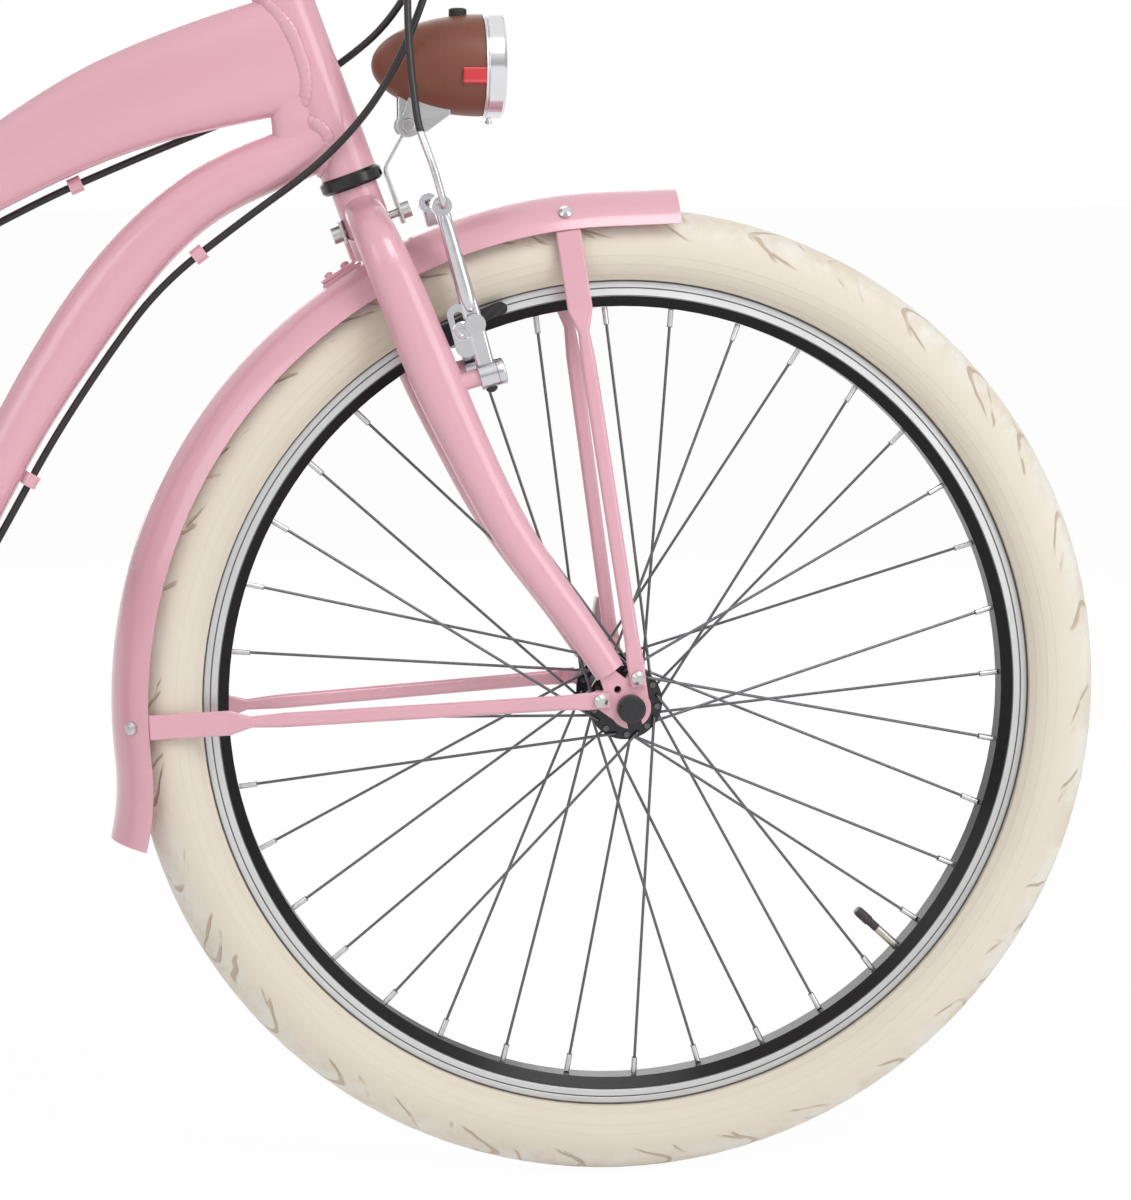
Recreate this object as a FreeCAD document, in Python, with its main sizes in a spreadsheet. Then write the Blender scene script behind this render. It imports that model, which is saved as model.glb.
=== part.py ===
import FreeCAD, Part
import math
import os
import Sketcher

# Beach cruiser bicycle, millimetres. Z is up, the front wheel faces -Y, the rider's left is +X.
# The origin lies on the ground, in the middle of the whole bicycle's box.

SIZES = {
    # general clearances and cut overrun
    "fit_gap": 0.3,
    "running_gap": 0.05,
    "overrun": 10,
    "edge_break": 2,
    # wheels
    "tyre_radius": 334,
    "tyre_section": 27,
    "tyre_cavity": 22,
    "bead_depth": 6,
    "bead_half": 7.5,
    "rim_edge_radius": 286,
    "rim_track_radius": 274.8,
    "rim_well_radius": 276,
    "rim_bed_radius": 268,
    "rim_half_width": 13,
    "rim_wall": 2.4,
    "rim_bed_half": 8,
    "spoke_radius": 1,
    "spoke_bend": 2.2,
    "spoke_hole": 1.3,
    "spoke_offset": 2.5,
    "nipple_radius": 2,
    "nipple_length": 12,
    "valve_radius": 3,
    "valve_length": 26,
    "valve_cap": 12,
    "tube_slack": 2.5,
    # hubs
    "flange_radius": 25.5,
    "flange_circle": 22,
    "flange_thickness": 3,
    "front_flange_place": 30,
    "rear_flange_place": 29,
    "hub_waist_radius": 13,
    "rear_waist_radius": 27,
    "rear_flange_radius": 34,
    "rear_flange_circle": 30.5,
    "hub_end_radius": 10,
    "axle_radius": 5,
    "cone_radius": 8,
    "cone_length": 8,
    "front_inner_half": 50,
    "rear_inner_half": 65,
    "skewer_nut_radius": 9.5,
    "skewer_nut_length": 9,
    "axle_nut_radius": 9,
    "axle_nut_length": 9,
    "shift_box_radius": 11,
    "shift_box_length": 22,
    # steering line
    "fork_rake": 50,
    "crown_height": 394,
    "head_tube_radius": 19,
    "head_tube_bore": 17,
    "head_tube_length": 165,
    "cup_radius": 21.4,
    "cup_height": 10,
    "bearing_radius": 16,
    "steerer_radius": 14.3,
    "steerer_bore": 11.15,
    "steerer_rise": 24,
    "crown_radius": 16,
    "crown_length": 35,
    "crown_bolt_drop": 26,
    "crown_bolt_radius": 3,
    "locknut_radius": 18,
    "locknut_height": 12,
    # fork legs
    "leg_depth": 34,
    "leg_width": 25,
    "leg_spread": 49.5,
    "dropout_thickness": 6,
    "dropout_radius": 14,
    "eyelet_radius": 2.5,
    "eyelet_rim": 6,
    # frame
    "front_centre": 620,
    "bracket_height": 285,
    "shell_radius": 21,
    "shell_half_width": 34,
    "shell_bore": 17.5,
    "spindle_radius": 8,
    "seat_tube_radius": 16,
    "seat_tube_bore": 13.65,
    "seat_tube_length": 430,
    "seat_joint_height": 254,
    "top_tube_depth": 78,
    "top_tube_width": 37,
    "top_tube_lift": 92,
    "down_tube_lift": 34,
    "down_tube_depth": 40,
    "down_tube_width": 36,
    "chain_stay_radius": 8.5,
    "seat_stay_radius": 8,
    "seat_stay_height": 325,
    "rear_plate": 5,
    "bridge_radius": 7,
    # drive
    "chain_pitch": 12.7,
    "ring_teeth": 44,
    "sprocket_teeth": 20,
    "ring_wrap": 24,
    "sprocket_wrap": 10,
    "chain_run": 36,
    "roller_radius": 3.9,
    "roller_seat_gap": 0.15,
    "chain_inner_half": 1.8,
    "chain_plate": 1.0,
    "chain_plate_gap": 0.1,
    "chain_plate_radius": 4.1,
    "chain_pin_radius": 1.8,
    "tooth_thickness": 2.8,
    "tooth_height": 4,
    "chain_line": 48,
    "driver_radius": 16,
    "crank_length": 170,
    "crank_inner": 63,
    "crank_thickness": 13,
    "crank_eye_radius": 17,
    "crank_end_radius": 13,
    "ring_hub_radius": 24,
    "ring_hub_length": 6,
    "ring_web": 12,
    "cup_depth": 14,
    "cup_lip": 3,
    "pedal_axle_radius": 6,
    "pedal_gap": 4,
    "pedal_width": 84,
    "pedal_length": 92,
    "pedal_height": 24,
    "pedal_plate": 3,
    "pedal_barrel_radius": 11,
    "pedal_block": 30,
    "guard_place": 57,
    "guard_sheet": 1.5,
    "guard_flange": 13,
    "guard_radius": 104,
    "guard_tail_radius": 66,
    "guard_tail": 300,
    "guard_hole": 20,
    "guard_drop": 34,
    "guard_rise": 14,
    "guard_peg_radius": 3.5,
    # fenders
    "fender_gap": 13,
    "fender_half_width": 34,
    "fender_depth": 24,
    "fender_sheet": 1.2,
    "fender_tip": 49,
    "fender_flare": 157,
    "stay_end_width": 17,
    "stay_thickness": 4,
    "stay_screw_radius": 4.5,
    "stay_screw_height": 3.5,
    "stay_strap": 3,
    "reflector_radius": 24,
    "reflector_depth": 12,
    "bracket_strip": 2.5,
    "bracket_width": 16,
    # front brake and rear brake
    "boss_radius_place": 251,
    "boss_radius": 6,
    "boss_reach": 40,
    "boss_cap": 4,
    "arm_width": 11,
    "arm_thickness": 8,
    "arm_length": 116,
    "arm_hub_radius": 9,
    "arm_hub_length": 12,
    "pad_length": 54,
    "pad_height": 8,
    "pad_thickness": 9,
    "pad_gap": 2,
    "pad_stud_radius": 3.5,
    # lamp
    "lamp_radius": 34,
    "lamp_length": 74.5,
    "lamp_wall": 2,
    "bezel_radius": 35.5,
    "bezel_length": 13,
    "lens_radius": 31,
    "lamp_tail": 23.5,
    "lamp_rise": 40,
    "lamp_eye_radius": 6,
    "lamp_pin_radius": 3,
    "lamp_ear": 3,
    "lamp_eye_forward": 47.5,
    "lamp_eye_up": 21,
    "switch_radius": 6,
    "switch_height": 8,
    # handlebar
    "stem_rise": 62,
    "stem_reach": 46,
    "stem_radius": 13,
    "clamp_radius": 17,
    "clamp_half": 21,
    "bar_radius": 11.1,
    "bar_half_width": 330,
    "bar_rise": 108,
    "bar_sweep": 165,
    "grip_radius": 16,
    "grip_length": 125,
    "shifter_length": 40,
    "lever_length": 112,
    "lever_offset": 32,
    "lever_width": 12,
    "lever_thickness": 6,
    "lever_eye_radius": 7,
    "lever_eye": 9,
    "lever_pin_radius": 2.5,
    "lever_ear": 3,
    "mount_ring_radius": 16,
    "mount_ring_width": 14,
    "mount_gap": 8,
    "barrel_radius": 4.5,
    "barrel_length": 34,
    "grip_cap": 4,
    "grip_collar": 3,
    "bar_bend": 55,
    # quick release
    "release_head": 6,
    "release_pivot": 14,
    "release_eye_radius": 6,
    "release_eye": 12,
    "release_cheek": 3,
    "release_pin_radius": 2.5,
    "release_length": 60,
    # saddle
    "post_radius": 13.6,
    "post_exposed": 90,
    "post_sunk": 160,
    "post_head_radius": 15,
    "post_head_half": 30,
    "saddle_length": 262,
    "saddle_width": 232,
    "saddle_height": 66,
    "saddle_lift": 74,
    "spring_radius": 17,
    "spring_wire": 2.6,
    "spring_place": 62,
    "rail_radius": 3.6,
    "rail_place": 22,
    "seat_collar": 22,
    "seat_collar_wall": 4,
    "seat_bolt_radius": 3,
    # kickstand
    "stand_ahead": 130,
    "stand_pivot_out": 22,
    "stand_spread": 112,
    "stand_lean": 36,
    "stand_foot_lift": 11,
    "stand_radius": 8,
    "stand_hub_radius": 12,
    "stand_hub_length": 18,
    "stand_pin_radius": 5,
    "stand_pin_head": 3,
    # cables
    "cable_radius": 2.5,
    "wire_radius": 1,
    "wire_hole": 2.4,
    "noodle_reach": 9,
    "clip_radius": 5.5,
    "clip_length": 9,
}

doc = FreeCAD.newDocument("BeachCruiser")
sheet = doc.addObject("Spreadsheet::Sheet", "Sizes")
for row, (alias, value) in enumerate(SIZES.items(), start=1):
    sheet.set("A%d" % row, alias)
    sheet.set("B%d" % row, str(value))
    sheet.setAlias("B%d" % row, alias)
doc.recompute()


class Dim:
    """A size with the sheet expression that drives it, so that both follow the same sum."""

    def __init__(self, value, text):
        self.value = value
        self.text = text

    def joined(self, other, value, sign):
        return Dim(value, "(%s %s %s)" % (self.text, sign, other.text))

    def __add__(self, other):
        other = dim(other)
        return self.joined(other, self.value + other.value, "+")

    def __sub__(self, other):
        other = dim(other)
        return self.joined(other, self.value - other.value, "-")

    def __mul__(self, other):
        other = dim(other)
        return self.joined(other, self.value * other.value, "*")

    def __truediv__(self, other):
        other = dim(other)
        return self.joined(other, self.value / other.value, "/")

    def __neg__(self):
        return Dim(-self.value, "(0 - %s)" % self.text)


def dim(number):
    """A plain number as a size of its own."""
    return number if isinstance(number, Dim) else Dim(float(number), repr(float(number)))


class Cells:
    """The sheet's sizes, for bound features."""

    def __getattr__(self, alias):
        return Dim(float(sheet.get(alias)), "<<Sizes>>.%s" % alias)


class Lengths:
    """The same sizes as numbers, for shapes worked out in code."""

    def __getattr__(self, alias):
        return float(sheet.get(alias))


D = Cells()
S = Lengths()
V = FreeCAD.Vector
X_AXIS = V(1, 0, 0)
Y_AXIS = V(0, 1, 0)
Z_AXIS = V(0, 0, 1)
ORIGIN = V(0, 0, 0)
FULL_TURN = 360.0
NODES = []


def node(label, obj):
    """Give a finished sub-part the label that names its file."""
    obj.Label = label
    NODES.append(obj)
    return obj


def aim(base, axis, start=Z_AXIS):
    return FreeCAD.Placement(base, FreeCAD.Rotation(start, axis))


def bind(obj, **sizes):
    for name, size in sizes.items():
        obj.setExpression(name, dim(size).text)


def cylinder(name, radius, height, base, axis=Z_AXIS):
    obj = doc.addObject("Part::Cylinder", name)
    bind(obj, Radius=radius, Height=height)
    obj.Placement = aim(base, axis)
    return obj


def torus(name, ring, section, base, axis):
    obj = doc.addObject("Part::Torus", name)
    bind(obj, Radius1=ring, Radius2=section)
    obj.Placement = aim(base, axis)
    return obj


def fuse(name, *parts):
    obj = doc.addObject("Part::MultiFuse", name)
    obj.Shapes = list(parts)
    return obj


def cut(name, base, *tools):
    obj = doc.addObject("Part::Cut", name)
    obj.Base = base
    obj.Tool = tools[0] if len(tools) == 1 else fuse(name + "_tools", *tools)
    return obj


def group(name, *parts):
    obj = doc.addObject("Part::Compound", name)
    obj.Links = list(parts)
    return obj


def feature(name, shape):
    obj = doc.addObject("Part::Feature", name)
    obj.Shape = shape
    return obj


def outline_sketch(body, name, outline):
    """A closed polygon whose corners are all bound to the sheet."""
    sketch = body.newObject("Sketcher::SketchObject", name)
    planes = [part for part in body.Origin.OriginFeatures if part.Role == "XY_Plane"]
    sketch.AttachmentSupport = [(planes[0], "")]
    sketch.MapMode = "FlatFace"
    corners = [(dim(across), dim(up)) for across, up in outline]
    points = [V(across.value, up.value, 0) for across, up in corners]
    lines = []
    for first, second in zip(points, points[1:] + points[:1]):
        lines.append(sketch.addGeometry(Part.LineSegment(first, second)))
    for line, follower in zip(lines, lines[1:] + lines[:1]):
        sketch.addConstraint(Sketcher.Constraint("Coincident", line, 2, follower, 1))
    for line, corner in zip(lines, corners):
        for kind, size in zip(("DistanceX", "DistanceY"), corner):
            index = sketch.addConstraint(Sketcher.Constraint(kind, -1, 1, line, 1, size.value))
            sketch.setExpression("Constraints[%d]" % index, size.text)
    return sketch


def turned(name, outline, base, axis):
    """A body of revolution: corners are (place along the axis, radius)."""
    body = doc.addObject("PartDesign::Body", name)
    sketch = outline_sketch(body, name + "_outline", outline)
    turn = body.newObject("PartDesign::Revolution", name + "_turn")
    turn.Profile = sketch
    turn.ReferenceAxis = (sketch, ["H_Axis"])
    turn.Angle = FULL_TURN
    body.Placement = aim(base, axis, X_AXIS)
    return body


def unit(vector):
    copy = V(vector)
    copy.normalize()
    return copy


def axes_at(origin, across, normal):
    """A placement whose local X lies along across and local Z along normal."""
    normal = unit(normal)
    across = unit(across - normal * across.dot(normal))
    return FreeCAD.Placement(origin, FreeCAD.Rotation(across, normal.cross(across), normal, "ZXY"))


def rounded_section(width, height, corner, placement):
    """A closed rectangle with round corners, centred on its placement."""
    half_w = width / 2
    half_h = height / 2
    corner = min(corner, half_w, half_h) * CORNER_SHARE
    slant = corner * (1 - math.sqrt(0.5))
    edges = []
    start = V(half_w, -half_h + corner, 0)
    for sign_x, sign_y, upright in ((1, 1, 1), (-1, 1, 0), (-1, -1, 1), (1, -1, 0)):
        if upright:
            run_end = V(sign_x * half_w, sign_y * (half_h - corner), 0)
            arc_end = V(sign_x * (half_w - corner), sign_y * half_h, 0)
        else:
            run_end = V(sign_x * (half_w - corner), sign_y * half_h, 0)
            arc_end = V(sign_x * half_w, sign_y * (half_h - corner), 0)
        arc_middle = V(sign_x * (half_w - slant), sign_y * (half_h - slant), 0)
        edges.append(Part.LineSegment(start, run_end).toShape())
        edges.append(Part.Arc(run_end, arc_middle, arc_end).toShape())
        start = arc_end
    wire = Part.Wire(edges)
    wire.Placement = placement
    return wire


def oval_section(depth, width, placement):
    """An ellipse with its longer axis along local X."""
    longer = max(depth, width * OVAL_SHARE) / 2
    wire = Part.Wire(Part.Ellipse(ORIGIN, longer, width / 2).toShape())
    wire.Placement = placement
    return wire


def smooth_section(width, depth, placement, power):
    """A closed smooth curve between an oval and a rounded rectangle, drawn through points round it."""
    points = []
    for index in range(SECTION_POINTS):
        turn = 2 * math.pi * index / SECTION_POINTS
        across = math.copysign(abs(math.cos(turn)) ** power, math.cos(turn))
        up = math.copysign(abs(math.sin(turn)) ** power, math.sin(turn))
        points.append(V(across * width / 2, up * depth / 2, 0))
    curve = Part.BSplineCurve()
    curve.interpolate(points, PeriodicFlag=True)
    wire = Part.Wire(curve.toShape())
    wire.Placement = placement
    return wire


def along(points, index):
    """The direction of a row of points at one of them."""
    before = points[max(index - 1, 0)]
    after = points[min(index + 1, len(points) - 1)]
    return unit(after - before)


def even_stations(points, rows, count):
    """Evenly spaced points on a smooth curve through the given ones, with rows of sizes carried along."""
    curve = Part.BSplineCurve()
    curve.interpolate(points)
    marks = [curve.parameter(point) for point in points]
    spots = curve.discretize(Number=count)
    carried = []
    for row in rows:
        values = []
        for spot in spots:
            mark = curve.parameter(spot)
            right = next((i for i, m in enumerate(marks) if m >= mark), len(marks) - 1)
            left = max(right - 1, 0)
            part = (mark - marks[left]) / (marks[right] - marks[left]) if right > left else 0.0
            values.append(row[left] + (row[right] - row[left]) * part)
        carried.append(values)
    return spots, carried


def round_wire(points, radius=None):
    """Straight runs joined by tangent arcs, as large as the runs allow or of one given radius."""
    edges = []
    start = points[0]
    radii = []
    for before, corner, after in zip(points, points[1:], points[2:]):
        back = unit(before - corner)
        ahead = unit(after - corner)
        half_turn = (math.pi - back.getAngle(ahead)) / 2
        shorter = min((before - corner).Length, (after - corner).Length)
        setback = ROUND_SHARE * shorter
        if radius:
            setback = min(setback, radius * math.tan(half_turn))
        bend = setback / math.tan(half_turn)
        radii.append(bend)
        centre_way = unit(back + ahead)
        centre = corner + centre_way * (bend / math.cos(half_turn))
        arc_start = corner + back * setback
        arc_end = corner + ahead * setback
        edges.append(Part.LineSegment(start, arc_start).toShape())
        edges.append(Part.Arc(arc_start, centre - centre_way * bend, arc_end).toShape())
        start = arc_end
    edges.append(Part.LineSegment(start, points[-1]).toShape())
    return Part.Wire(edges), radii


def swept(path, section):
    """A section carried along a path, as one solid."""
    pipe = Part.BRepOffsetAPI.MakePipeShell(path)
    pipe.add(section)
    pipe.build()
    pipe.makeSolid()
    return pipe.shape()


def round_bar(points, thickness, radius=None):
    """A round tube or cable along a row of points, with its volume compared with section times length."""
    path, radii = round_wire(points, radius)
    circle = Part.Wire(Part.Circle(points[0], unit(points[1] - points[0]), thickness).toShape())
    solid = swept(path, circle)
    expected = math.pi * thickness ** 2 * path.Length
    if abs(solid.Volume / expected - 1) > VOLUME_SHARE:
        raise ValueError("a bent bar lost its section")
    return solid, path.Length, radii


def rod(start, end, radius):
    """A round pin between two points."""
    way = end - start
    return Part.makeCylinder(radius, way.Length, start, way)


def disc(centre, axis, radius, thickness):
    """A round plate centred on a point."""
    way = unit(axis)
    return Part.makeCylinder(radius, thickness, centre - way * (thickness / 2), way)


CORNER_SHARE = 0.98
SECTION_POINTS = 24
OVAL_SHARE = 1.02
ROUND_SHARE = 0.45
VOLUME_SHARE = 0.01

# The chain closes on whole links, so the distance from crank to rear axle follows from the teeth.
ring_pitch_radius = S.chain_pitch / (2 * math.sin(math.pi / S.ring_teeth))
sprocket_pitch_radius = S.chain_pitch / (2 * math.sin(math.pi / S.sprocket_teeth))
ring_half_wrap = S.ring_wrap * math.pi / S.ring_teeth
sprocket_half_wrap = S.sprocket_wrap * math.pi / S.sprocket_teeth
ring_drop = ring_pitch_radius * math.sin(ring_half_wrap)
run_drop = ring_drop - sprocket_pitch_radius * math.sin(sprocket_half_wrap)
run_length = S.chain_run * S.chain_pitch
chain_centres = math.sqrt(run_length ** 2 - run_drop ** 2)
chain_centres -= ring_pitch_radius * math.cos(ring_half_wrap)
chain_centres -= sprocket_pitch_radius * math.cos(sprocket_half_wrap)

# Places of the axles, with the whole length centred on the origin.
axle_z = S.tyre_radius
bracket_drop = axle_z - S.bracket_height
stay_run = math.sqrt(chain_centres ** 2 - bracket_drop ** 2)
wheelbase = S.front_centre + stay_run
TAIL_ANGLE = 6.0
FLARE_ANGLE = 19.7
tail_rad = math.radians(TAIL_ANGLE)
flare_rad = math.radians(FLARE_ANGLE)
fender_radius = S.tyre_radius + S.fender_gap
tail_reach = fender_radius * math.cos(tail_rad) - S.fender_flare * math.sin(flare_rad) * math.sin(tail_rad)
tail_reach += S.fender_flare * (1 - math.cos(flare_rad)) * math.cos(tail_rad)
front_axle_y = (S.tyre_radius - max(tail_reach, fender_radius) - wheelbase) / 2
FRONT = V(0, front_axle_y, axle_z)
REAR = V(0, front_axle_y + wheelbase, axle_z)
BRACKET = V(0, front_axle_y + S.front_centre, S.bracket_height)

# The steering line leans back by the head angle; places on it are given from the lower headset ring.
HEAD_ANGLE = 70.0
lean = math.radians(90.0 - HEAD_ANGLE)
STEER_UP = V(0, math.sin(lean), math.cos(lean))
STEER_FORWARD = V(0, -math.cos(lean), math.sin(lean))
STEER_FOOT = FRONT - STEER_FORWARD * S.fork_rake
RING = STEER_FOOT + STEER_UP * S.crown_height
SEAT_UP = V(0, math.cos(math.radians(HEAD_ANGLE)), math.sin(math.radians(HEAD_ANGLE)))


def steer(up, forward=0.0, side=0.0):
    """A point by its height above the lower ring, its place ahead of the steering line and its side."""
    return RING + STEER_UP * up + STEER_FORWARD * forward + X_AXIS * side


def round_wheel(centre, heading, angle, radius, side):
    """A point beside a wheel; the angle rises from the heading, -1 forward or 1 rearward."""
    turn = math.radians(angle)
    return centre + V(side, heading * radius * math.cos(turn), radius * math.sin(turn))


# Wheels

def tyre(label, prefix, centre):
    """A round casing, open towards the rim, with two beads that sit between the rim's edges."""
    ring = D.tyre_radius - D.tyre_section
    casing = torus(prefix + "_casing", ring, D.tyre_section, centre, X_AXIS)
    cavity = torus(prefix + "_cavity", ring, D.tyre_cavity, centre, X_AXIS)
    seat = D.rim_edge_radius + D.fit_gap
    mouth = cylinder(prefix + "_mouth", seat, D.tyre_section * 2, centre - X_AXIS * S.tyre_section, X_AXIS)
    shell = cut(prefix + "_shell", casing, cavity, mouth)
    inner = D.bead_half
    outer = D.rim_half_width - D.rim_wall - D.fit_gap
    foot = D.rim_edge_radius - D.bead_depth
    head = D.rim_edge_radius + D.rim_wall
    bead_outline = [(inner, foot), (outer, foot), (outer, head), (inner, head)]
    beads = [turned(prefix + "_bead_left", bead_outline, centre, X_AXIS)]
    beads.append(turned(prefix + "_bead_right", bead_outline, centre, -X_AXIS))
    return node(label, fuse(prefix + "_tyre_body", shell, *beads))


def rim(label, prefix, centre, valve_way):
    half = D.rim_half_width
    lip = half - D.rim_wall
    well = D.rim_well_radius
    outline = [
        (half, D.rim_edge_radius), (lip, D.rim_edge_radius), (lip, well + D.rim_wall), (D.bead_half, well),
        (-D.bead_half, well), (-lip, well + D.rim_wall), (-lip, D.rim_edge_radius),
        (-half, D.rim_edge_radius),
        (-half, D.rim_track_radius), (-D.rim_bed_half, D.rim_bed_radius),
        (D.rim_bed_half, D.rim_bed_radius), (half, D.rim_track_radius),
    ]
    hoop = turned(prefix + "_hoop", outline, centre, X_AXIS)
    base = centre + valve_way * (S.rim_bed_radius - S.overrun)
    drill = cylinder(prefix + "_valve_hole", D.valve_radius + D.fit_gap, D.overrun * 3, base, valve_way)
    return node(label, cut(prefix + "_rim_body", hoop, drill))


def inner_tube(label, prefix, centre, valve_way):
    """The air tube with its valve stem through the rim, and a separate cap."""
    ring = S.tyre_radius - S.tyre_section
    air = Part.makeTorus(ring, S.tyre_cavity - S.tube_slack, centre, X_AXIS)
    tip = centre + valve_way * (S.rim_bed_radius - S.valve_length)
    stem = rod(tip, centre + valve_way * S.rim_edge_radius, S.valve_radius)
    root = rod(tip, centre + valve_way * (ring - S.tyre_cavity / 2), S.valve_radius / 2)
    cap_low = tip - valve_way * S.fit_gap
    cap = rod(cap_low - valve_way * (S.valve_cap - S.valve_radius), cap_low, S.valve_radius + 2 * S.fit_gap)
    tapered = Part.makeCone(S.valve_radius + 2 * S.fit_gap, S.valve_radius, S.valve_radius,
                            cap_low - valve_way * (S.valve_cap - S.valve_radius), -valve_way)
    body = air.fuse([stem, root]).removeSplitter()
    return node(label, feature(prefix + "_inner_tube_body", Part.makeCompound([body, cap.fuse(tapered)])))


SPOKES_PER_SIDE = 18
CROSS_ANGLE = 60.0


def spoke(flange_x, circle, side, outward, hub_angle, rim_angle):
    """One spoke: its head lies against the flange, its elbow turns it, and its nipple seats at the rim."""
    half = S.flange_thickness / 2
    hub_way = V(0, math.cos(math.radians(hub_angle)), math.sin(math.radians(hub_angle)))
    rim_way = V(0, math.cos(math.radians(rim_angle)), math.sin(math.radians(rim_angle)))
    face = half + S.fit_gap + S.spoke_radius
    hole = hub_way * circle
    elbow = hole + X_AXIS * side * (flange_x + outward * (face + S.spoke_bend - S.spoke_radius))
    head = hole + X_AXIS * side * (flange_x - outward * face)
    seat = rim_way * (S.rim_bed_radius - 2 * S.fit_gap) + X_AXIS * side * S.spoke_offset
    wire, _ = round_wire([head, elbow, seat], S.spoke_bend)
    circle_wire = Part.Wire(Part.Circle(head, X_AXIS, S.spoke_radius).toShape())
    body = swept(wire, circle_wire)
    way = unit(seat - elbow)
    nipple = rod(seat - way * S.nipple_length, seat, S.nipple_radius)
    button = disc(head, X_AXIS, S.nipple_radius, S.spoke_radius)
    return body.fuse([nipple, button])


def spokes(label, prefix, centre, flange_x, circle, phase):
    """Two flanges of crossed spokes, each flange with an outer and an inner set."""
    step = FULL_TURN / SPOKES_PER_SIDE
    solids = []
    for side, shift in ((1, step / 2), (-1, 0.0)):
        for outward, first, lead in ((1, 0.0, CROSS_ANGLE), (-1, step, -CROSS_ANGLE)):
            start = phase + shift + first
            model = spoke(flange_x, circle, side, outward, start, start + lead)
            for turn in range(SPOKES_PER_SIDE // 2):
                copy = model.copy()
                copy.rotate(ORIGIN, X_AXIS, 2 * step * turn)
                copy.translate(centre)
                solids.append(copy)
    return node(label, feature(prefix + "_spoke_set", Part.makeCompound(solids)))


def drill_ring(prefix, centre, flange_x, circle, phase):
    """The spoke holes of both flanges."""
    step = FULL_TURN / SPOKES_PER_SIDE
    tools = []
    for side, shift in ((1, step / 2), (-1, 0.0)):
        for turn in range(SPOKES_PER_SIDE):
            angle = math.radians(phase + shift + turn * step)
            spot = centre + V(side * flange_x, circle * math.cos(angle), circle * math.sin(angle))
            tools.append(disc(spot, X_AXIS, S.spoke_hole, S.flange_thickness * 2))
    return feature(prefix + "_spoke_holes", Part.makeCompound(tools))


def front_hub():
    place = D.front_flange_place
    half = D.flange_thickness / 2
    end = D.front_inner_half - D.cone_length - D.fit_gap
    bore = D.axle_radius + D.running_gap
    side = [(place - half * 3, D.hub_waist_radius), (place - half, D.flange_circle - D.nipple_radius * 2),
            (place - half, D.flange_radius), (place + half, D.flange_radius),
            (place + half, D.hub_waist_radius), (end, D.hub_end_radius)]
    other = [(-along_axis, radius) for along_axis, radius in reversed(side)]
    outline = side + [(end, bore), (-end, bore)] + other
    shell = turned("front_hub_shell", outline, FRONT, X_AXIS)
    holes = drill_ring("front", FRONT, S.front_flange_place, S.flange_circle, FRONT_PHASE)
    return node("front_hub", cut("front_hub_body", shell, holes))


def rear_hub():
    """The wide barrel of a hub gear."""
    place = D.rear_flange_place
    half = D.flange_thickness / 2
    left_end = D.rear_inner_half - D.cone_length - D.fit_gap
    right_end = place + half * 3
    bore = D.axle_radius + D.running_gap
    outline = [
        (place - half, D.rear_waist_radius), (place - half, D.rear_flange_radius),
        (place + half, D.rear_flange_radius), (place + half, D.rear_waist_radius),
        (left_end, D.hub_waist_radius), (left_end, bore), (-right_end, bore),
        (-right_end, D.rear_waist_radius),
        (-place - half, D.rear_waist_radius), (-place - half, D.rear_flange_radius),
        (-place + half, D.rear_flange_radius), (-place + half, D.rear_waist_radius),
    ]
    shell = turned("rear_hub_shell", outline, REAR, X_AXIS)
    holes = drill_ring("rear", REAR, S.rear_flange_place, S.rear_flange_circle, 0.0)
    return node("rear_hub", cut("rear_hub_body", shell, holes))


# The spoke pattern stands so that the front valve points down and forward, between two spokes.
FRONT_PHASE = 7.7
VALVE_ANGLE = -42.7
front_valve_way = round_wheel(ORIGIN, -1, VALVE_ANGLE, 1.0, 0.0)
REAR_VALVE_ANGLE = -85.0
rear_valve_way = round_wheel(ORIGIN, 1, REAR_VALVE_ANGLE, 1.0, 0.0)

tyre("front_tyre", "front", FRONT)
rim("front_rim", "front", FRONT, front_valve_way)
inner_tube("front_inner_tube", "front", FRONT, front_valve_way)
spokes("front_spokes", "front", FRONT, S.front_flange_place, S.flange_circle, FRONT_PHASE)
front_hub()
tyre("rear_tyre", "rear", REAR)
rim("rear_rim", "rear", REAR, rear_valve_way)
inner_tube("rear_inner_tube", "rear", REAR, rear_valve_way)
spokes("rear_spokes", "rear", REAR, S.rear_flange_place, S.rear_flange_circle, 0.0)
rear_hub()


def front_axle():
    """The hollow axle with its cones, and the skewer's round nut on the right."""
    inner = S.front_inner_half
    outer = inner + S.dropout_thickness
    spindle = cylinder("front_spindle", D.axle_radius, (D.front_inner_half + D.dropout_thickness) * 2,
                       FRONT - X_AXIS * outer, X_AXIS)
    bore = D.axle_radius
    low = D.front_inner_half - D.cone_length
    cone = [(low, bore), (low, D.cone_radius - D.edge_break),
            (D.front_inner_half, D.cone_radius), (D.front_inner_half, bore)]
    cones = [turned("front_cone_left", cone, FRONT, X_AXIS),
             turned("front_cone_right", cone, FRONT, -X_AXIS)]
    face = D.front_inner_half + D.dropout_thickness
    end = face + D.skewer_nut_length
    nut = [(face, 0), (face, D.skewer_nut_radius), (end - D.edge_break, D.skewer_nut_radius),
           (end, D.skewer_nut_radius - D.edge_break), (end, 0)]
    nuts = turned("front_skewer_nut", nut, FRONT, -X_AXIS)
    head = feature("release_head", release_head())
    return node("front_axle", group("front_axle_set", spindle, *cones, nuts, head))


# Headset and fork

head_low = S.cup_height / 2
head_top = head_low + S.head_tube_length
steerer_top = head_top + S.cup_height + S.steerer_rise


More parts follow.
